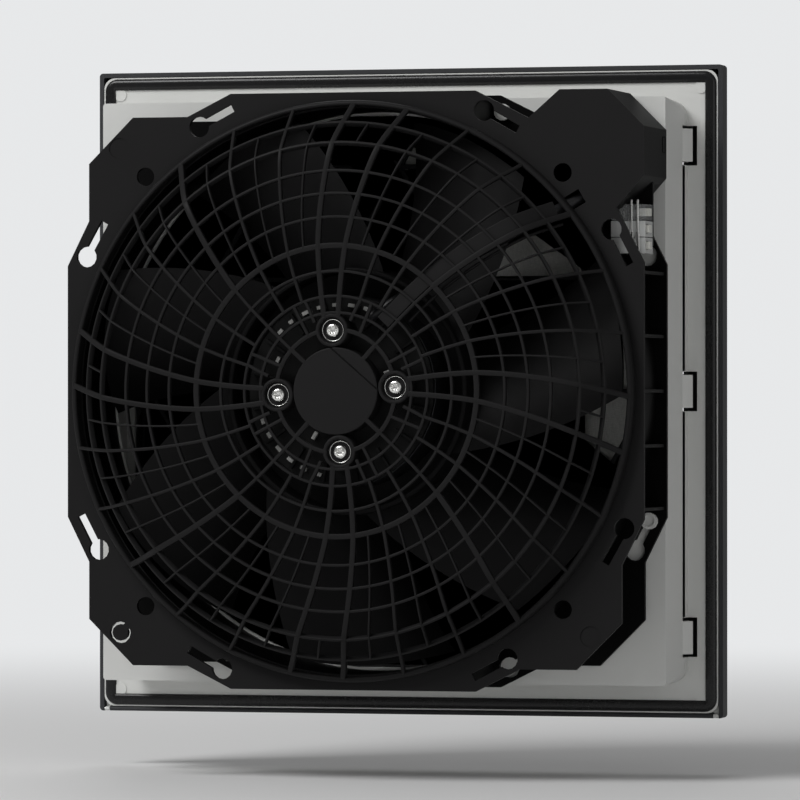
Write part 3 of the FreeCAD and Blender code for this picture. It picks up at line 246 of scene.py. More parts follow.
class Paintbox:
    """Makes each finish's material once."""

    def __init__(self) -> None:
        """Starts with no materials."""
        self.made: dict[str, bpy.types.Material] = {}

    def material(self, finish: Finish) -> bpy.types.Material:
        """The material of a finish, made at its first use.

        Args:
            finish: the finish.

        Returns:
            Its material.
        """
        if finish.name not in self.made:
            self.made[finish.name] = self._build(finish)
        return self.made[finish.name]

    def _build(self, finish: Finish) -> bpy.types.Material:
        """Builds a material.

        Args:
            finish: colour, gloss and texture.

        Returns:
            The material.
        """
        material = bpy.data.materials.new(finish.name)
        material.use_nodes = True
        graph = Graph(material.node_tree)
        place = graph.add("TexCoord")["Object"]
        broad = self._noise(graph, place, 22.0, 3.0)
        fine = self._noise(graph, place, 1.0 / (finish.grain * MM), 3.0)
        dim = tuple(c * (1 - finish.mottle) for c in finish.colour)
        light = tuple(min(c * (1 + finish.mottle), 1.0) for c in finish.colour)
        colour = graph.blend(broad, dim, light)
        rough = broad * 0.10 + fine * 0.08 + (finish.roughness - 0.09)
        height = fine
        strength = 0.6
        if finish.surface is Surface.MOULDED:
            scuffs = self._scuffs(graph, place)
            colour = graph.blend(scuffs * 0.10, colour, tuple(c * 1.5 + 0.01 for c in finish.colour))
            rough = rough + scuffs * 0.10
            # Painted shade: everything deeper than the near flange's back is darkened by the given share,
            # standing in for the shadow between the flanges.
            if finish.painted_shade > 0:
                depth = graph.add("SeparateXYZ", None, {"Vector": place})["Y"]
                share = depth.above(NEAR_FLANGE_BACK * MM, 0.5 * MM) * finish.painted_shade
                colour = graph.blend(share, colour, (0.0, 0.0, 0.0))
        elif finish.surface is Surface.CAST_SEAL:
            pits = self._noise(graph, place, 900.0, 2.0)
            height = fine * 0.8 + pits * 0.2
            rough = rough + pits * 0.08
        elif finish.surface is Surface.METAL:
            tarnish = self._noise(graph, place, 180.0, 4.0).above(0.45, 0.3)
            colour = graph.blend(tarnish * 0.35, colour, tuple(c * 0.72 for c in finish.colour))
            rough = rough + tarnish * 0.12
            height = self._drag(graph, place, (1.0, 1.0, 14.0), 260.0)
            strength = 0.25
        elif finish.surface is Surface.CASTING:
            lumps = self._noise(graph, place, 420.0, 5.0)
            colour = graph.blend(lumps.above(0.55, 0.25) * 0.4, colour, tuple(c * 1.9 for c in finish.colour))
            height = lumps
        elif finish.surface is Surface.FLEECE:
            threads = self._drag(graph, place, (1.0, 6.0, 9.0), 420.0)
            cross = self._drag(graph, place, (9.0, 6.0, 1.0), 380.0)
            height = threads * 0.5 + cross * 0.5
            colour = graph.blend(height.above(0.35, 0.3), tuple(c * 0.78 for c in finish.colour), colour)
            strength = 1.0
        elif finish.surface is Surface.ENAMEL:
            height = graph.add("TexWave", {"bands_direction": "Y"},
                               {"Vector": place, "Scale": 320.0, "Distortion": 0.3})["Fac"]
            strength = 0.5
        bump = graph.add("Bump", None,
                         {"Height": height, "Distance": finish.depth * MM, "Strength": strength})
        shader = graph.add("BsdfPrincipled", None, {
            "Base Color": colour,
            "Roughness": rough,
            "Metallic": finish.metallic,
            "Coat Weight": finish.coat,
            "Alpha": finish.alpha,
            "Specular IOR Level": finish.gloss,
            "Normal": bump["Normal"],
        })
        graph.add("OutputMaterial", None, {"Surface": shader["BSDF"]})
        material.diffuse_color = (*finish.colour, finish.alpha)
        return material

    @staticmethod
    def _noise(graph: Graph, place: Value, scale: float, detail: float) -> Value:
        """Noise of a given scale in cycles per metre."""
        inputs = {"Vector": place, "Scale": scale, "Detail": detail}
        return graph.add("TexNoise", None, inputs)["Fac"]

    def _drag(self, graph: Graph, place: Value, stretch: Colour, scale: float) -> Value:
        """Noise drawn out along the axes with the smallest stretch."""
        mapped = graph.add("Mapping", None, {"Vector": place, "Scale": stretch})["Vector"]
        return self._noise(graph, mapped, scale, 2.0)

    def _scuffs(self, graph: Graph, place: Value) -> Value:
        """Sparse fine rub marks from handling.

        Args:
            graph: the material's graph.
            place: coordinates on the object.

        Returns:
            1 on a mark and 0 elsewhere.
        """
        lines = self._drag(graph, place, (1.0, 4.0, 12.0), 70.0).above(0.66, 0.06)
        patches = self._noise(graph, place, 14.0, 2.0).above(0.50, 0.20)
        return lines * patches


PAINTBOX = Paintbox()


def polar(radius: Array, degrees: Array, y: Array) -> Array:
    """Points (radius cos a, y, radius sin a) about the fan's axis, with a counted from +X towards +Z."""
    a = np.radians(degrees)
    return np.stack(np.broadcast_arrays(radius * np.cos(a), y, radius * np.sin(a)), axis=-1)


def unit(vectors: Array) -> Array:
    """Vectors scaled to length one."""
    return vectors / np.linalg.norm(vectors, axis=-1, keepdims=True)


def rounded_bar(width: float, depth: float, corner: float, steps: int = 3) -> Array:
    """Closed rectangle with rounded corners, as (across, up) points about its middle.

    Each corner is a quarter circle: centre + corner * (cos t, sin t), t over a quarter turn.

    Args:
        width: size across.
        depth: size up.
        corner: radius of the corners.
        steps: points on each corner.

    Returns:
        The outline, (points, 2).
    """
    t = np.radians(np.linspace(0, 90, steps))
    pieces = []
    for k, (sx, sy) in enumerate(((1, 1), (-1, 1), (-1, -1), (1, -1))):
        centre = np.array([sx * (width / 2 - corner), sy * (depth / 2 - corner)])
        angle = t + math.pi / 2 * k
        pieces.append(centre + corner * np.stack([np.cos(angle), np.sin(angle)], axis=-1))
    return np.concatenate(pieces)


def rounded_square(half: float, corner: float, y: float, steps: int = 8, side_steps: int = 24) -> Array:
    """Outline of a square with quarter-circle corners, with points along each side as well.

    Args:
        half: half the square's size.
        corner: radius of the corners.
        y: height of the outline.
        steps: points on each corner.
        side_steps: points between two corners.

    Returns:
        The outline, (points, 3).
    """
    t = np.radians(np.linspace(0, 90, steps))
    pieces = []
    for k, (sx, sz) in enumerate(((1, 1), (-1, 1), (-1, -1), (1, -1))):
        angle = t + math.pi / 2 * k
        arc_x = sx * (half - corner) + corner * np.cos(angle)
        arc_z = sz * (half - corner) + corner * np.sin(angle)
        pieces.append(np.stack([arc_x, np.full_like(arc_x, y), arc_z], axis=-1))
    outline = []
    for here, there in zip(pieces, pieces[1:] + pieces[:1]):
        share = np.linspace(0, 1, side_steps + 2)[1:-1, None]
        outline += [here, here[-1] * (1 - share) + there[0] * share]
    return np.concatenate(outline)


@dataclass
class Mesh:
    """Vertices and faces gathered from grids, written to one Blender object."""

    points: list[Array] = field(default_factory=list)
    faces: list[list[int]] = field(default_factory=list)
    count: int = 0

    def grid(self, points: Array, wrap_rows: bool = False, wrap_columns: bool = False,
             cap_ends: bool = False) -> None:
        """Adds a rows x columns grid of points as quads.

        Args:
            points: array of shape (rows, columns, 3).
            wrap_rows: the last row joins the first.
            wrap_columns: the last column joins the first.
            cap_ends: the first and last rows are closed with one face each.
        """
        rows, columns = points.shape[:2]
        index = np.arange(rows * columns).reshape(rows, columns) + self.count
        if wrap_rows:
            index = np.vstack([index, index[:1]])
        if wrap_columns:
            index = np.hstack([index, index[:, :1]])
        quads = np.stack([index[:-1, :-1], index[1:, :-1], index[1:, 1:], index[:-1, 1:]], axis=-1)
        self.faces += quads.reshape(-1, 4).tolist()
        if cap_ends:
            ring = index[:, :-1] if wrap_columns else index
            self.faces += [ring[0].tolist(), ring[-1][::-1].tolist()]
        self.points.append(points.reshape(-1, 3))
        self.count += rows * columns

    def sweep(self, path: Array, across: Array, up: Array, profile: Array, closed: bool) -> None:
        """Carries a closed profile along a path: point = path + across * u + up * v.

        Args:
            path: (n, 3) middle line.
            across: (n, 3) unit vectors of the profile's first axis.
            up: (n, 3) unit vectors of its second axis.
            profile: (m, 2) closed outline.
            closed: the path closes on itself.
        """
        grid = path[:, None] + across[:, None] * profile[None, :, :1] + up[:, None] * profile[None, :, 1:]
        self.grid(grid, wrap_rows=closed, wrap_columns=True, cap_ends=not closed)

    def strut(self, ends: Union[Array, list[Place]], across: Array, up: Array, profile: Array) -> None:
        """Carries a closed profile straight between two ends, with fixed across and up directions."""
        self.sweep(np.asarray(ends), np.array([across] * 2), np.array([up] * 2), profile, False)

    def turned(self, profile: Array, steps: int, x: float = 0.0, z: float = 0.0) -> None:
        """Turns a closed (radius, y) profile about an axis along Y through x, z.

        Args:
            profile: (m, 2) points.
            steps: number of divisions of the circle.
            x: place of the axis.
            z: place of the axis.
        """
        angle = np.linspace(0, 360, steps, endpoint=False)[:, None]
        grid = polar(profile[None, :, 0], angle, profile[None, :, 1]) + np.array([x, 0.0, z])
        self.grid(grid, wrap_rows=True, wrap_columns=True)

    def plain(self, name: str) -> bpy.types.Object:
        """Makes a bare object, closes its seams and points its faces outwards.

        Args:
            name: the object's name.

        Returns:
            The object.
        """
        mesh = bpy.data.meshes.new(name)
        mesh.from_pydata((np.concatenate(self.points) * MM).tolist(), [], self.faces)
        shape = bmesh.new()
        shape.from_mesh(mesh)
        bmesh.ops.remove_doubles(shape, verts=shape.verts, dist=2e-6)
        bmesh.ops.dissolve_degenerate(shape, edges=shape.edges, dist=1e-7)
        bmesh.ops.recalc_face_normals(shape, faces=shape.faces)
        shape.to_mesh(mesh)
        shape.free()
        return linked(name, mesh)

    def write(self, name: str, finish: Finish, body: Body) -> bpy.types.Object:
        """Makes a dressed piece with a name and finish on its body."""
        return dress(self.plain(name), finish, body)


def linked(name: str, data: Any) -> bpy.types.Object:
    """A new object in the scene, made from a mesh, light or camera.

    Args:
        name: the object's name.
        data: what it shows.

    Returns:
        The object.
    """
    obj = bpy.data.objects.new(name, data)
    bpy.context.collection.objects.link(obj)
    return obj


def settle(obj: bpy.types.Object) -> None:
    """Replaces the object's mesh by the result of its modifiers.

    Args:
        obj: the object.
    """
    result = bpy.data.meshes.new_from_object(obj.evaluated_get(bpy.context.evaluated_depsgraph_get()))
    obj.modifiers.clear()
    obj.data = result


def dress(obj: bpy.types.Object, finish: Finish, body: Body, bevel: float = 0.0) -> bpy.types.Object:
    """Rounds the edges, smooths the shading and gives the object its finish and body.

    Args:
        obj: the piece.
        finish: its finish.
        body: the body it rides on.
        bevel: width of the rounded edges in millimetres, 0 for none.

    Returns:
        The same object.
    """
    if bevel > 0:
        edge = obj.modifiers.new("edges", "BEVEL")
        edge.width = bevel * MM
        edge.segments = 2
        edge.limit_method = "ANGLE"
        edge.angle_limit = math.radians(EDGE_ANGLE)
        edge.miter_outer = "MITER_ARC"
        settle(obj)
    mesh = obj.data
    mesh.polygons.foreach_set("use_smooth", np.ones(len(mesh.polygons), dtype=bool))
    mesh.set_sharp_from_angle(angle=math.radians(SMOOTH_ANGLE))
    if bevel > 0:
        weights = obj.modifiers.new("weights", "WEIGHTED_NORMAL")
        weights.keep_sharp = True
        settle(obj)
    obj.data.materials.clear()
    obj.data.materials.append(PAINTBOX.material(finish))
    obj.data.name = obj.name
    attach(obj, body.value)
    LOG.info("%s: %d faces on %s", obj.name, len(obj.data.polygons), body.value)
    return obj


@dataclass
class Kit:
    """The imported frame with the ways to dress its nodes."""

    frame: dict[str, Any]

    def paint(self, node: str, finish: Finish) -> None:
        """Gives a solid that stays as it is its material.

        Args:
            node: the solid.
            finish: its finish.
        """
        obj = self.frame["nodes"][node]
        obj.data.materials.clear()
        obj.data.materials.append(PAINTBOX.material(finish))
        LOG.info("%s: painted %s", node, finish.name)

    def copy(self, node: str, name: str, finish: Finish, body: Body, bevel: float,
             reshape: Optional[Callable[[bmesh.types.BMesh], None]] = None,
             cutter: Optional[Mesh] = None) -> None:
        """Copies a solid, merges its facets into whole faces and rounds its edges.

        The new piece stands for the solid.

        Args:
            node: the solid.
            name: the new piece's name.
            finish: its finish.
            body: the body it rides on.
            bevel: width of the rounded edges.
            reshape: a change to the merged mesh.
            cutter: closed shapes that are taken out.
        """
        shape = bmesh.new()
        shape.from_mesh(self.frame["nodes"][node].data)
        bmesh.ops.remove_doubles(shape, verts=shape.verts, dist=1e-6)
        bmesh.ops.dissolve_limit(shape, angle_limit=math.radians(1.0), verts=shape.verts, edges=shape.edges)
        if reshape:
            reshape(shape)
        mesh = bpy.data.meshes.new(name)
        shape.to_mesh(mesh)
        shape.free()
        obj = linked(name, mesh)
        if cutter:
            self.cut(obj, cutter)
        dress(obj, finish, body, bevel)
        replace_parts(obj, node)

    @staticmethod
    def cut(obj: bpy.types.Object, cutter: Mesh) -> None:
        """Takes closed shapes out of a piece.

        Args:
            obj: the piece.
            cutter: the shapes.
        """
        tool = cutter.plain("cutter")
        modifier = obj.modifiers.new("cut", "BOOLEAN")
        modifier.operation = "DIFFERENCE"
        modifier.solver = "EXACT"
        modifier.object = tool
        settle(obj)
        bpy.data.objects.remove(tool)


@dataclass
class Tray:
    """Mounting frame with its flange, seal, filter mat, support grid and hinge ears."""

    kit: Kit
    half: float = 143.7
    corner: float = 8.0
    near_corner: float = 1.6
    depth: float = 47.9
    seam_height: float = -4.8
    seam_width: float = 0.7
    seam_depth: float = 0.8
    seam_spans: Pairs = ((-137.0, -131.8), (-111.2, -10.3), (10.3, 111.2), (131.8, 137.0))
    seal_inner: float = 152.7
    seal_width: float = 5.7
    seal_corner: float = 6.3
    seal_base: float = 3.1
    mat_half: float = 140.8
    mat_back: float = -10.7
    mat_front: float = 5.3
    mat_fade: float = 3.0

    def build(self) -> None:
        """Makes every piece that stays in the wall."""
        self.kit.copy("mounting_frame", "tray", LIGHT_GREY, Body.FRAME, 0.35, self.sharpen, self.seams())
        self.kit.copy("filter_support_grid", "support_grid", GRID_BLACK, Body.FRAME, 0.3)
        self.kit.copy("hinge_brackets", "hinge_ears", LIGHT_GREY, Body.FRAME, 0.12)
        self.kit.paint("hinge_pins", ZINC)
        self.seal()
        self.mat()

    def sharpen(self, shape: bmesh.types.BMesh) -> None:
        """Narrows the tray's outer corners towards its near end.

        A corner's radius runs from the near corner's at the near end to the full one at the flange.

        Args:
            shape: the tray's merged mesh.
        """
        centre = self.half - self.corner
        for vert in shape.verts:
            x, y, z = (value / MM for value in vert.co)
            across, along = abs(x) - centre, abs(z) - centre
            if min(across, along) > -0.01 and abs(math.hypot(across, along) - self.corner) < 0.05:
                share = min(max(1 + y / self.depth, 0.0), 1.0)
                radius = self.near_corner + (self.corner - self.near_corner) * share
                out = (self.half - radius) * MM
                vert.co.x = math.copysign(out + radius * MM * across / self.corner, x)
                vert.co.z = math.copysign(out + radius * MM * along / self.corner, z)

    def seams(self) -> Mesh:
        """Thin grooves between the windows of the side walls.

        Returns:
            The bars that cut them.
        """
        mesh = Mesh()
        section = rounded_bar(2 * self.seam_depth, self.seam_width, 0.05, 2)
        for side in (-1.0, 1.0):
            for low, high in self.seam_spans:
                ends = [(side * self.half, self.seam_height, z) for z in (low, high)]
                mesh.strut(ends, X_AXIS, Y_AXIS, section)
        return mesh

    def seal(self) -> None:
        """Cast bead: outlines that grow from the sharp inner square to the rounded outer one.

        The crown is low in its middle, rises 0.1 mm to a ridge near its outer edge and falls off round.
        """
        crown = np.array([
            (0.0, self.seal_base), (0.0, 1.30), (0.08, 0.85), (0.35, 0.45), (0.9, 0.16), (1.7, 0.05),
            (2.6, 0.04), (3.5, 0.0), (4.2, 0.08), (4.8, 0.30), (5.25, 0.66), (5.55, 1.10), (5.7, 1.65),
            (5.7, self.seal_base),
        ])
        mesh = Mesh()
        rows = []
        for across, y in crown:
            corner = max(self.seal_corner * across / self.seal_width, 0.02)
            rows.append(rounded_square(self.seal_inner + across, corner, y))
        mesh.grid(np.stack(rows), wrap_rows=True, wrap_columns=True)
        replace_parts(mesh.write("seal_bead", SEAL_BLACK, Body.FRAME), "panel_seal")

    def mat(self) -> None:
        """Fleece mat: two faces joined by a band at the edge.

        Their height is a slow wave plus a finer one, each a product of two sines. Over the last
        millimetres before the edge the waves fade and the faces draw in.
        """
        side = np.linspace(-self.mat_half, self.mat_half, 121)
        x, z = np.meshgrid(side, side)
        slow = 0.35 * np.sin(x / 11 + np.sin(z / 17)) * np.sin(z / 13)
        loft = slow + 0.2 * np.sin(x / 4.3) * np.sin(z / 5.1 + x / 9)
        edge = np.clip((self.mat_half - np.maximum(abs(x), abs(z))) / self.mat_fade, 0, 1)
        inset = 1.4 * (1 - edge) ** 2 + 0.6 - 0.6 * edge
        mesh = Mesh()
        back = self.mat_back + inset - loft * edge + 0.35 * edge
        front = self.mat_front - inset + loft * edge - 0.35 * edge
        mesh.grid(np.stack([x, back, z], axis=-1))
        mesh.grid(np.stack([x, front, z], axis=-1))
        rim = rounded_square(self.mat_half, 0.02, 0.0, 2, 119)
        band = np.stack([rim + Y_AXIS * y for y in (self.mat_back + 2.0, self.mat_front - 2.0)])
        mesh.grid(band, wrap_columns=True)
        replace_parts(mesh.write("fleece_mat", FLEECE_WHITE, Body.FRAME), "filter_mat")


@dataclass
class Cover:
    """Bevelled outer cover with slanted louvres."""

    kit: Kit

    def build(self) -> None:
        """Makes the cover."""
        self.kit.copy("front_cover", "louvred_cover", CHARCOAL, Body.COVER, 0.35)


@dataclass
class Dome:
    """Shape of the finger guard's outer skin: height over the near flange against radius."""

    near_face: float = NEAR_FACE
    rim: float = 139.5
    stations: Pairs = (
        (0.0, 30.3), (85.0, 30.3), (94.9, 29.8), (106.0, 28.9), (113.5, 28.0), (119.4, 26.3), (124.0, 22.6),
        (129.6, 17.1), (135.0, 11.6), (139.5, 7.5),
    )

    def face(self) -> float:
        """Y of the flat middle."""
        return self.near_face - self.stations[0][1]

    def top(self, radius: Array) -> Array:
        """Y of the outer skin at a radius, straight between the stations."""
        radii, heights = zip(*self.stations)
        return self.near_face - np.interp(radius, radii, heights)

    def slope(self, radius: Array) -> Array:
        """Change of Y with radius, taken over a few millimetres so that bends are soft.

        Args:
            radius: where it is taken.

        Returns:
            The slope.
        """
        reach = 3.0
        high = np.minimum(radius + reach, self.rim)
        low = radius - reach
        return (self.top(high) - self.top(low)) / (high - low)


@dataclass
class Guard:
    """Domed finger guard: rings and trailing spokes, screw bosses, collar, hub drum and duct.

    Angles are counted from +X towards +Z. Each list of spokes is that of one quarter, by the angles at the
    rim, and trail gives how many degrees a spoke has turned when it reaches a radius.
    """

    kit: Kit
    dome: Dome = field(default_factory=Dome)
    wall: float = 2.8
    thin_rings: tuple[float, ...] = (37.7, 45.7, 57.7, 83.8, 95.2, 106.2, 120.0, 130.1)
    ring_width: float = 1.35
    ring_sink: float = 0.07
    thick_ring: float = 70.0
    thick_width: float = 2.7
    boss_ring: float = 29.6
    boss_ring_width: float = 2.1
    trail: Pairs = (
        (20.0, 10.5), (29.6, 10.4), (45.7, 9.9), (57.7, 9.3), (70.0, 8.4), (95.2, 5.4), (120.0, 2.5),
        (139.5, 0.0),
    )
    hub_spokes: tuple[float, ...] = (-1.2, 77.7)
    diagonal: float = 37.5
    main_spokes: tuple[float, ...] = (11.4, 24.4, 51.4, 64.4)
    second_spokes: tuple[float, ...] = (4.8, 17.8, 30.7, 44.6, 57.7, 70.9)
    gap_spoke: float = 83.1
    short_spokes: tuple[tuple[float, float, float], ...] = (
        (19.3, 17.6, 34.5), (27.2, 27.0, 29.6), (66.8, 66.2, 29.6), (73.9, 77.6, 34.5),
    )
    thick_spoke: float = 2.6
    diagonal_width: float = 2.8
    drum_tab_width: float = 2.2
    spoke_width: float = 1.6
    second_width: float = 0.95
    screw_circle: float = 29.3
    screw_turn: float = 3.6
    boss_outside: float = 8.05
    boss_recess: float = 6.3
    boss_bore: float = 2.45
    seat_depth: float = 3.0
    boss_depth: float = 10.6
    boss_overlap: float = 1.2
    ring_overlap: float = 0.9
    collar_wall: float = 2.8
    drum: float = 21.0
    crease_turn: float = 49.2
    crease_place: float = 14.26
    crease_width: float = 0.5
    duct_width: float = 7.4
    duct_sink: float = 1.3
    duct_depth: float = 6.0
    duct_wall: float = 1.2
    duct_reach: tuple[float, float] = (40.5, 136.4)
    bead_place: float = 3.4
    bead_sink: float = 5.0
    bead_width: float = 1.5

    def build(self) -> None:
        """Makes the guard with its screws, hub drum and duct."""
        mesh = Mesh()
        for radius in self.thin_rings:
            self.ring(mesh, radius, self.ring_width)
        self.ring(mesh, self.thick_ring, self.thick_width)
        for turn in range(4):
            self.quadrant(mesh, 90.0 * turn)
        self.collar(mesh)
        for x, z in self.screw_places():
            self.boss(mesh, x, z)
        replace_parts(mesh.write("guard_grille", FAN_BLACK, Body.FAN), "finger_guard")
        self.screws()
        self.hub_drum()
        self.duct()

    def screw_places(self) -> list[tuple[float, float]]:
        """Centres of the four bosses."""
        angles = np.radians(self.screw_turn + 90 * np.arange(4))
        return [(self.screw_circle * math.cos(a), self.screw_circle * math.sin(a)) for a in angles]

    def turned_by(self, radius: Array) -> Array:
        """Degrees that a spoke has trailed at a radius, straight between the stations."""
        radii, degrees = zip(*self.trail)
        return np.interp(radius, radii, degrees)

    def ring(self, mesh: Mesh, radius: float, width: float, span: tuple[float, float] = (0.0, 360.0)) -> None:
        """Circle or arc of a rounded bar whose depth follows the dome's normal.

        The normal is (slope, -1) in the radius-Y plane, scaled to length one.

        Args:
            mesh: where it goes.
            radius: radius of the circle.
            width: width of the bar.
            span: first and last angle.
        """
        closed = span[1] - span[0] >= 360
        angle = np.linspace(*span, max(int((span[1] - span[0]) / 2), 2), endpoint=not closed)
        slope = float(self.dome.slope(np.array(radius)))
        length = math.hypot(slope, 1.0)
        out = polar(np.ones_like(angle), angle, np.zeros_like(angle))
        up = (out * slope - Y_AXIS) / length
        across = (out + Y_AXIS * slope) / length
        top = polar(np.full_like(angle, radius), angle, float(self.dome.top(np.array(radius))))
        sunk = self.wall / 2 + self.ring_sink
        mesh.sweep(top - up * sunk, across, up, rounded_bar(width, self.wall, 0.32), closed)

    def frame_on_dome(self, radius: Array, angle: Array, sink: float) -> tuple[Array, Array, Array]:
        """Path on the dome with the unit vectors across it and out of it.

        Args:
            radius: radii along the path.
            angle: degrees along the path.
            sink: depth of the path under the outer skin.

        Returns:
            Points, across and up.
        """
        top = polar(radius, angle, self.dome.top(radius))
        along = unit(np.gradient(top, axis=0))
        across = unit(np.cross(along, Y_AXIS))
        up = unit(np.cross(across, along))
        up *= -np.sign(up[:, 1:2])
        return top - up * sink, across, up

    def bar(self, mesh: Mesh, radius: Array, angle: Array, width: float) -> None:
        """Rounded bar of the guard's wall along a path on the dome."""
        path, across, up = self.frame_on_dome(radius, angle, self.wall / 2)
        mesh.sweep(path, across, up, rounded_bar(width, self.wall, 0.35), False)

    def spoke(self, mesh: Mesh, rim_angle: float, start: float, end: float, width: float) -> None:
        """Trailing spoke between two radii, from its angle at the rim."""
        radius = np.linspace(start, end, max(int((end - start) / 2.5), 4))
        self.bar(mesh, radius, rim_angle + self.turned_by(radius), width)

    def quadrant(self, mesh: Mesh, turn: float) -> None:
        """Spokes of one quarter of the guard and its share of the boss ring.

        Args:
            mesh: where they go.
            turn: angle at which the quarter starts.
        """
        rim = self.dome.rim
        inner_ring, gap_ring, outer_ring = (self.thin_rings[k] for k in (1, -2, -1))
        at_boss = self.screw_circle + self.boss_outside - self.boss_overlap
        runs = [(angle, at_boss, rim, self.thick_spoke) for angle in self.hub_spokes]
        runs += [
            (self.diagonal, self.thick_ring, rim, self.diagonal_width),
            (self.diagonal, self.boss_ring, self.thick_ring, self.spoke_width),
            (self.diagonal, self.drum - 0.5, self.boss_ring, self.drum_tab_width),
        ]
        runs += [(angle, inner_ring, rim, self.spoke_width) for angle in self.main_spokes]
        runs += [(angle, self.thick_ring, outer_ring, self.second_width) for angle in self.second_spokes]
        runs.append((self.gap_spoke, gap_ring, outer_ring, self.second_width))
        for angle, start, end, width in runs:
            self.spoke(mesh, angle + turn, start, end, width)
        share = np.linspace(0, 1, 7)
        for outer, inner, radius in self.short_spokes:
            radii = radius + (inner_ring - radius) * share
            self.bar(mesh, radii, turn + inner + (outer - inner) * share, self.spoke_width)
        reach = self.boss_outside - self.ring_overlap
        gap = 2 * math.degrees(math.asin(reach / 2 / self.boss_ring))
        first = self.screw_turn + turn
        self.ring(mesh, self.boss_ring, self.boss_ring_width, (first + gap, first + 90 - gap))

    def collar(self, mesh: Mesh) -> None:
        """Rounded wall that stands on the near flange and carries the rim.

        Args:
            mesh: where it goes.
        """
        rim, half = self.dome.rim, self.collar_wall / 2
        foot = self.dome.near_face
        head = foot - self.dome.stations[-1][1]
        profile = np.array([
            (rim - half, foot), (rim - half, head + 1.2), (rim - half + 0.3, head + 0.4), (rim - 0.4, head),
            (rim + 0.4, head + 0.15), (rim + half - 0.3, head + 0.9), (rim + half, head + 1.8),
            (rim + half, foot),
        ])
        mesh.turned(profile, 220)

    def boss(self, mesh: Mesh, x: float, z: float) -> None:
        """Screw boss: a turned wall with a stepped recess and rounded lips.

        Args:
            mesh: where it goes.
            x: place of its axis.
            z: place of its axis.
        """
        y0 = self.dome.face()
        y1 = y0 + self.boss_depth
        seat = y0 + self.seat_depth
        outside, recess, bore = self.boss_outside, self.boss_recess, self.boss_bore
        profile = np.array([
            (outside, y1), (outside, y0 + 0.6), (outside - 0.2, y0 + 0.2), (outside - 0.6, y0),
            (recess + 0.5, y0), (recess + 0.15, y0 + 0.15), (recess, y0 + 0.5), (recess, seat),
            (bore, seat), (bore, y1),
        ])
        mesh.turned(profile, 48, x, z)

    def screws(self) -> None:
        """Zinc screws: a low head with a star recess, over a dark seat inside a thin bright washer edge.

        The star's wall has radius 1.75 + 0.38 * cos(6 a).
        """
        mesh = Mesh()
        angle = np.linspace(0, 360, 60, endpoint=False)[:, None]
        seat = self.dome.face() + self.seat_depth
        star = 1.75 + 0.38 * np.cos(np.radians(6 * angle))
        head = [
            (np.full_like(angle, 0.02), seat - 0.5), (star * 0.82, seat - 0.55), (star * 0.96, seat - 0.9),
            (star, seat - 1.45), (star + 0.14, seat - 1.62), (np.full_like(angle, 2.6), seat - 1.55),
            (np.full_like(angle, 3.05), seat - 1.25), (np.full_like(angle, 3.25), seat - 0.75),
            (np.full_like(angle, 3.3), seat - 0.02), (np.full_like(angle, 2.2), seat - 0.02),
            (np.full_like(angle, 2.2), seat + 9.6), (np.full_like(angle, 0.02), seat + 9.9),
        ]
        edge = np.array([
            (5.0, seat - 0.02), (5.0, seat - 0.35), (5.1, seat - 0.52), (5.25, seat - 0.58),
            (5.4, seat - 0.5), (5.48, seat - 0.3), (5.48, seat - 0.02),
        ])
        for x, z in self.screw_places():
            grid = np.concatenate([polar(radius, angle, y) for radius, y in head], axis=1)
            mesh.grid(grid + np.array([x, 0.0, z]), wrap_rows=True)
            mesh.turned(edge, 60, x, z)
        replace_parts(mesh.write("boss_screws", ZINC, Body.FAN), "guard_screws")

    def hub_drum(self) -> None:
        """Drum over the motor's middle whose face is split by a narrow crease into two segments.

        A segment's outline is an arc over |angle - crease turn| against the straight line at its distance.
        """
        y0 = self.dome.face()
        steps = ((0.9, 0.04), (0.45, 0.06), (0.16, 0.16), (0.0, 0.45), (0.0, 1.4))
        mesh = Mesh()
        for side in (-1.0, 1.0):
            rows = []
            for inset, depth in steps:
                radius = self.drum - inset
                line = self.crease_place + side * (self.crease_width / 2 + min(inset, 0.16))
                half = math.degrees(math.acos(line / radius))
                span = (-half, half) if side > 0 else (half, 360 - half)
                arc = polar(np.full(90, radius), self.crease_turn + np.linspace(*span, 90), y0 + depth)
                share = np.linspace(0, 1, 30)[1:-1, None]
                rows.append(np.vstack([arc, arc[-1] * (1 - share) + arc[0] * share]))
            mesh.grid(np.stack(rows), wrap_columns=True, cap_ends=True)
        body = [(0.05, 1.0), (self.drum - 0.04, 1.0), (self.drum - 0.04, 10.6), (0.05, 10.6)]
        mesh.turned(np.array(body) + np.array([0.0, y0]), 120)
        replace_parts(mesh.write("hub_drum", FAN_BLACK, Body.FAN), "hub_cap")

    def duct(self) -> None:
        """Channel beside the first diagonal spoke, open towards the motor, and a bead past the spoke."""
        radius = np.linspace(*self.duct_reach, 48)
        beside = np.degrees((self.thick_spoke + self.duct_width) / 2 / radius)
        angle = self.diagonal + self.turned_by(radius)
        path, across, up = self.frame_on_dome(radius, angle + beside, self.duct_sink)
        half, deep, wall = self.duct_width / 2, self.duct_depth, self.duct_wall
        channel = np.array([
            (half, -0.3), (half - 0.1, -0.1), (half - 0.3, 0.0), (half - 0.5, 0.0), (0.5 - half, 0.0),
            (0.3 - half, 0.0), (0.1 - half, -0.1), (-half, -0.3), (-half, -deep), (wall - half, -deep),
            (wall - half, -wall), (half - wall, -wall), (half - wall, -deep), (half, -deep),
        ])
        mesh = Mesh()
        mesh.sweep(path, across, up, channel, False)
        bead_angle = angle - np.degrees(self.bead_place / radius)
        bead, across, up = self.frame_on_dome(radius[4:], bead_angle[4:], self.bead_sink)
        mesh.sweep(bead, across, up, rounded_bar(self.bead_width, self.bead_width, 0.6), False)
        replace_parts(mesh.write("lead_duct", FAN_BLACK, Body.FAN), "cable_duct")


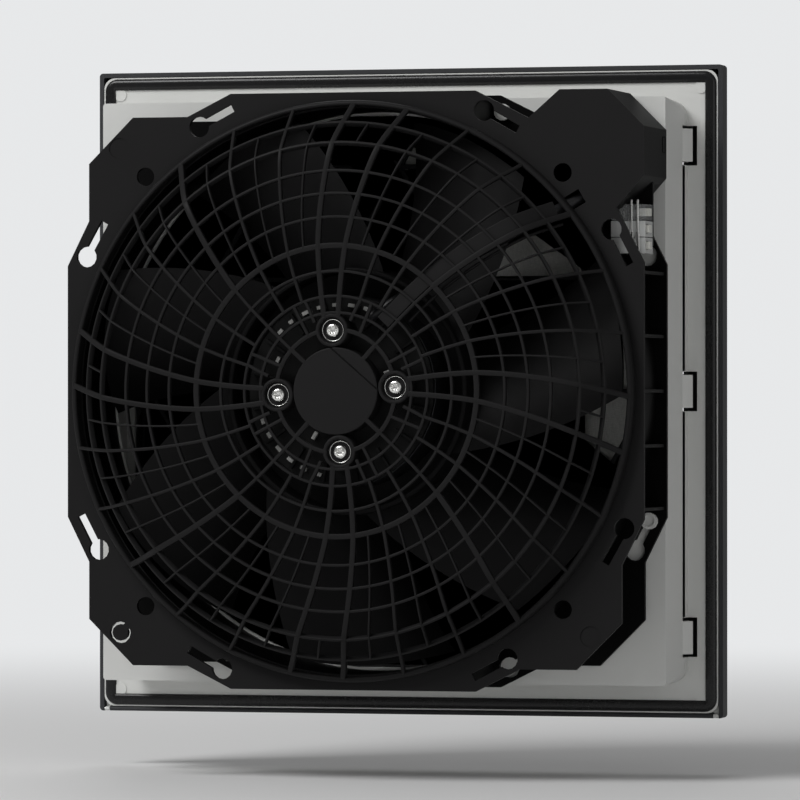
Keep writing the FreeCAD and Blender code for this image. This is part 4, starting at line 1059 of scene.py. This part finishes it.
@dataclass
class Housing:
    """Fan housing with its terminal box."""

    kit: Kit
    near_face: float = NEAR_FACE
    mark_radius: float = 5.1
    mark_depth: float = 0.45
    housing_marks: Pairs = ((-118.6, 119.0), (118.7, -118.0))
    box_marks: Pairs = ((118.7, 119.0),)

    def build(self) -> None:
        """Makes the housing and the terminal box, with shallow round moulding marks in both."""
        shell = self.marks(self.housing_marks)
        corner = self.marks(self.box_marks)
        self.kit.copy("fan_housing", "housing_shell", FAN_BLACK, Body.FAN, 0.35, cutter=shell)
        self.kit.copy("terminal_box", "terminal_corner", FAN_BLACK, Body.FAN, 0.3)
        self.kit.copy("terminal_box_lid", "terminal_lid", FAN_BLACK, Body.FAN, 0.25, cutter=corner)

    def marks(self, places: Pairs) -> Mesh:
        """Discs that sink the moulding marks into the near face.

        Args:
            places: their centres.

        Returns:
            The discs.
        """
        mesh = Mesh()
        y0, y1 = self.near_face - 1.0, self.near_face + self.mark_depth
        disc = np.array([(0.01, y0), (self.mark_radius, y0), (self.mark_radius, y1), (0.01, y1)])
        for x, z in places:
            mesh.turned(disc, 48, x, z)
        return mesh


@dataclass
class Motor:
    """External-rotor motor: cast carrier, rotor cup, stator and the lead."""

    kit: Kit
    tab_circle: float = 41.6
    tab_pitch: float = 10.9
    tab_rows: tuple[tuple[float, int], ...] = ((60.5, 8), (200.0, 6))
    tab_face: float = -120.7
    tab_size: tuple[float, float] = (3.4, 1.7)
    tab_wall: float = 1.8
    odd_tabs: tuple[tuple[float, ...], ...] = (
        (25.0, 21.0, 2.0, 3.0), (25.0, 239.0, 2.0, 4.0), (34.8, 155.0, 4.0, 1.5),
    )
    lead_radius: float = 2.8
    lead_start: tuple[float, float] = (15.1, 35.2)
    lead_direction: float = 30.5
    lead_stations: Pairs = ((0.0, 123.6), (66.0, 123.6), (124.0, 88.0))

    def build(self) -> None:
        """Makes the carrier and the lead and paints the sealed pieces."""
        self.kit.copy("motor_flange", "motor_carrier", CAST_BLACK, Body.FAN, 0.25)
        self.kit.copy("rotor_cup", "rotor_bell", ROTOR_STEEL, Body.ROTOR, 0.3)
        for node, finish in (("bearings", ZINC), ("shaft", ZINC), ("stator_core", CORE_STEEL),
                             ("stator_windings", COPPER)):
            self.kit.paint(node, finish)
        self.tabs()
        self.lead()

    def tabs(self) -> None:
        """Small bright tabs in rows on the carrier's face and a few odd ones near the drum."""
        mesh = Mesh()
        angles = [start + self.tab_pitch * k for start, count in self.tab_rows for k in range(count)]
        places = [(self.tab_circle, angle, *self.tab_size) for angle in angles]
        for radius, angle, width, length in (*places, *self.odd_tabs):
            ends = polar(np.array([radius - length / 2, radius + length / 2]), np.array(angle), self.tab_face)
            across = np.cross(unit(ends[1] - ends[0]), Y_AXIS)
            mesh.strut(ends, across, -Y_AXIS, rounded_bar(width, self.tab_wall, self.tab_wall / 6))
        mesh.write("carrier_tabs", CAST_GREY, Body.FAN)

    def lead(self) -> None:
        """Round sheath along two straight runs joined by a curve that is tangent to both.

        The curve is entry * (1 - t) squared + 2 * corner * t * (1 - t) + leave * t squared.
        """
        a = math.radians(self.lead_direction)
        heading = np.array([math.cos(a), 0.0, math.sin(a)])
        start = np.array([self.lead_start[0], 0.0, self.lead_start[1]])
        first, corner, last = (
            start + heading * along - Y_AXIS * depth for along, depth in self.lead_stations
        )
        reach = 0.45 * min(np.linalg.norm(corner - first), np.linalg.norm(last - corner))
        t = np.linspace(0, 1, 15)[:, None]
        entry = corner - unit(corner - first) * reach
        leave = corner + unit(last - corner) * reach
        bend = entry * (1 - t) ** 2 + 2 * corner * t * (1 - t) + leave * t**2
        path = np.vstack([first, first * 0.5 + entry * 0.5, bend, leave * 0.5 + last * 0.5, last])
        along = unit(np.gradient(path, axis=0))
        across = np.broadcast_to(unit(np.cross(heading, Y_AXIS)), along.shape)
        angle = np.radians(np.linspace(0, 360, 20, endpoint=False))
        circle = self.lead_radius * np.stack([np.cos(angle), np.sin(angle)], axis=-1)
        mesh = Mesh()
        mesh.sweep(path, across, np.cross(across, along), circle, False)
        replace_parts(mesh.write("motor_lead_sheath", SHEATH, Body.FAN), "motor_lead")


@dataclass
class Impeller:
    """Seven swept blades on a drum."""

    kit: Kit
    blades: int = 7
    hub: float = 60.0
    hub_wall: float = 2.5
    tip: float = 133.4
    hub_low: float = -109.9
    hub_high: float = -63.9
    web: float = 26.0
    bore: float = 46.3
    middle: float = -84.0
    stagger: tuple[float, float] = (54.0, 62.0)
    lean: float = 8.0
    camber: float = 7.0
    thickness: float = 3.4
    thinning: float = 0.86
    low_edge: tuple[float, float] = (-107.0, 12.0)
    high_edge: tuple[float, float] = (-63.0, 8.0)
    high_inset: float = 1.4
    overhang: tuple[float, float] = (0.2, 11.0)

    def build(self) -> None:
        """Makes the drum and its blades."""
        mesh = Mesh()
        r0, r1 = self.hub - self.hub_wall, self.hub
        y0, y1, yw = self.hub_low, self.hub_high, self.hub_high - self.web
        mesh.turned(np.array([
            (r0, y0 + 0.4), (r0 + 0.4, y0), (r1 - 0.6, y0), (r1, y0 + 0.6), (r1, y1 - 0.6), (r1 - 0.6, y1),
            (self.bore + 0.4, y1), (self.bore, y1 - 0.4), (self.bore, yw), (r0, yw),
        ]), 140)
        for k in range(self.blades):
            self.blade(mesh, 360.0 / self.blades * k)
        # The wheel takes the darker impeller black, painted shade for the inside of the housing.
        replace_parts(mesh.write("fan_wheel", BLADE_SHADED_BLACK, Body.ROTOR), "impeller")

    def blade(self, mesh: Mesh, turn: float) -> None:
        """One blade as a loop of chord points at each radius.

        Along the chord t runs from -1 to 1. Y goes from the low to the high edge, each given by its Y at
        the hub and its rise to the tip. The angle is (y - middle) * tan(stagger) / radius plus the lean.
        The skin stands off the chord line by camber * (1 - t squared), plus or minus half the thickness
        * (1 - thinning * t to the fourth), and stays within the overhang past the hub's ends.

        Args:
            mesh: where it goes.
            turn: the blade's angle on the hub.
        """
        radius = np.linspace(self.hub - 1.2, self.tip, 22)
        share = (radius - self.hub) / (self.tip - self.hub)
        t = np.linspace(-1, 1, 19)
        loop_t = np.concatenate([t, t[-2:0:-1]])
        side = np.concatenate([np.ones(19), -np.ones(17)])
        low = np.maximum(self.low_edge[0] + share * self.low_edge[1], self.hub_low)[:, None]
        high = (self.high_edge[0] + share * self.high_edge[1])[:, None] - self.high_inset
        stagger = np.radians(self.stagger[0] + share * (self.stagger[1] - self.stagger[0]))[:, None]
        y = low + (high - low) * (loop_t + 1) / 2
        run = (y - self.middle) * np.tan(stagger)
        off = self.camber * (1 - loop_t**2) + side * self.thickness / 2 * (1 - loop_t**4 * self.thinning)
        y_skin = y - off * np.sin(stagger)
        run_skin = run + off * np.cos(stagger)
        angle = turn + np.degrees(run_skin / radius[:, None]) + self.lean * share[:, None]
        y_skin = np.clip(y_skin, self.hub_low - self.overhang[0], self.hub_high + self.overhang[1])
        mesh.grid(polar(radius[:, None], angle, y_skin), wrap_columns=True, cap_ends=True)


@dataclass
class Terminals:
    """Clear terminal poles with their contacts and release buttons."""

    kit: Kit
    count: int = 3
    split: float = 82.0
    near_face: float = -88.4
    prongs_x: tuple[float, ...] = (136.3, 139.4)
    prong_span: tuple[float, float] = (67.5, 92.0)
    prong_foot: float = 9.0
    prong_width: float = 1.1
    foot_width: float = 1.9
    prong_wall: float = 0.9

    def build(self) -> None:
        """Makes the clear top pole and the pale lower ones and paints the small parts."""
        for name, finish, top in (("clear_top_pole", CLEAR, True), ("pale_poles", POLE_GREY, False)):
            self.kit.copy("terminal_block", name, finish, Body.FAN, 0.25, partial(self.keep, top=top))
        self.kit.paint("terminal_contacts", ZINC)
        for index in range(self.count):
            self.kit.paint(f"release_button_{index + 1}", BUTTON)
        self.prongs()

    def prongs(self) -> None:
        """Bright blades that run from the box down over the poles, each with a broader foot."""
        mesh = Mesh()
        low, high = self.prong_span
        steps = ((self.prong_width, high, 0.5), (self.foot_width, low + self.prong_foot, 0.7))
        for x in self.prongs_x:
            for width, end, lift in steps:
                ends = [(x, self.near_face - lift, z) for z in (low, end)]
                mesh.strut(ends, X_AXIS, -Y_AXIS, rounded_bar(width, self.prong_wall, 0.2))
        mesh.write("contact_prongs", ZINC, Body.FAN)

    def keep(self, shape: bmesh.types.BMesh, top: bool) -> None:
        """Leaves only the top pole, or all but the top pole."""
        gone = [vert for vert in shape.verts if (vert.co.z < self.split * MM) == top]
        bmesh.ops.delete(shape, geom=gone, context="VERTS")


@dataclass
class Studio:
    """Pale floor, soft light and the camera.

    The camera's numbers and the floor's height are in millimetres. The floor's half, its fade and the
    lamps are in metres.
    """

    azimuth: float = 15.241
    elevation: float = -0.071
    roll: float = -0.02
    distance: float = 3137.98
    target: Place = (-3.727, 1.6, -4.148)
    lens: float = 282.07
    floor_height: float = -189.0
    floor_tone: float = 0.80
    backdrop: Colour = (0.80, 0.81, 0.82)
    floor_half: float = 12.0
    fade_start: float = 0.25
    fade_width: float = 1.5
    world_level: float = 0.20
    lamps: tuple[tuple[str, Place, float, float], ...] = (
        ("key", (-1.0, -1.45, 1.55), 1.1, 34.0),
        ("fill", (1.7, -1.9, 0.3), 1.4, 4.5),
        ("back", (-0.5, 1.6, 1.7), 1.2, 9.0),
    )

    def build(self) -> None:
        """Sets up the whole stage."""
        self.floor()
        self.sky()
        for lamp in self.lamps:
            self.lamp(*lamp)
        self.camera()

    def floor(self) -> None:
        """Large flat floor, low enough for the open cover, that fades into the backdrop in the distance.

        To the camera, the share of the backdrop's own tone grows smoothly with the distance from the unit.
        """
        material = bpy.data.materials.new("pale_floor")
        material.use_nodes = True
        graph = Graph(material.node_tree)
        tone = (self.floor_tone,) * 3
        place = graph.add("TexCoord")["Object"]
        away = graph.add("VectorMath", {"operation": "LENGTH"}, {0: place})["Value"]
        seen = graph.add("LightPath")["Is Camera Ray"]
        matt = graph.add("BsdfPrincipled", None,
                         {"Base Color": tone, "Roughness": 0.9, "Specular IOR Level": 0.2})
        glow = graph.add("Emission", None, {"Color": self.backdrop, "Strength": 1.0})
        mixed = graph.add("MixShader", None,
                          {0: seen * away.above(self.fade_start, self.fade_width), 1: matt["BSDF"],
                           2: glow["Emission"]})
        graph.add("OutputMaterial", None, {"Surface": mixed["Shader"]})
        corners = [(x * self.floor_half, y * self.floor_half, self.floor_height * MM)
                   for x, y in ((-1, -1), (1, -1), (1, 1), (-1, 1))]
        mesh = bpy.data.meshes.new("floor")
        mesh.from_pydata(corners, [], [(0, 1, 2, 3)])
        mesh.materials.append(material)
        floor = linked("floor", mesh)

    def sky(self) -> None:
        """Even dim world light behind a pale backdrop that only the camera sees."""
        world = bpy.data.worlds.new("studio")
        bpy.context.scene.world = world
        world.use_nodes = True
        graph = Graph(world.node_tree)
        seen = graph.add("LightPath")["Is Camera Ray"]
        light = graph.add("Background", None,
                          {"Color": (1.0, 1.0, 1.0), "Strength": self.world_level})
        shown = graph.add("Background", None, {"Color": self.backdrop, "Strength": 1.0})
        mixed = graph.add("MixShader", None,
                          {0: seen, 1: light["Background"], 2: shown["Background"]})
        graph.add("OutputWorld", None, {"Surface": mixed["Shader"]})

    def lamp(self, name: str, place: Place, size: float, power: float) -> None:
        """Square soft lamp that points at the unit.

        Args:
            name: the lamp's name.
            place: where it stands, in metres.
            size: side of the square in metres.
            power: its power in watts.
        """
        data = bpy.data.lights.new(name, "AREA")
        data.size = size
        data.energy = power
        lamp = linked(name, data)
        lamp.location = place
        lamp.rotation_mode = "QUATERNION"
        lamp.rotation_quaternion = (-Vector(place)).to_track_quat("-Z", "Y")

    def camera(self) -> None:
        """Camera at the photograph's viewing angle."""
        az, el = math.radians(self.azimuth), math.radians(self.elevation)
        out = Vector((math.sin(az) * math.cos(el), -math.cos(az) * math.cos(el), math.sin(el)))
        data = bpy.data.cameras.new("camera")
        data.lens = self.lens
        data.sensor_width = 36.0
        data.clip_end = 50.0
        camera = linked("camera", data)
        camera.location = (Vector(self.target) + out * self.distance) * MM
        aim = (-out).to_track_quat("-Z", "Y")
        camera.rotation_mode = "QUATERNION"
        camera.rotation_quaternion = aim @ Quaternion((0.0, 0.0, 1.0), math.radians(self.roll))
        bpy.context.scene.camera = camera


def main() -> None:
    """Builds the unit's looks round the frame, then the stage."""
    logging.basicConfig(level=logging.INFO, format="%(message)s")
    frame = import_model()
    kit = Kit(frame)
    for group in (Tray(kit), Cover(kit), Housing(kit), Guard(kit), Motor(kit), Impeller(kit), Terminals(kit)):
        LOG.info("building %s", type(group).__name__)
        group.build()
    Studio().build()
    bpy.context.scene.view_settings.view_transform = "Standard"


if __name__ == "__main__":
    main()
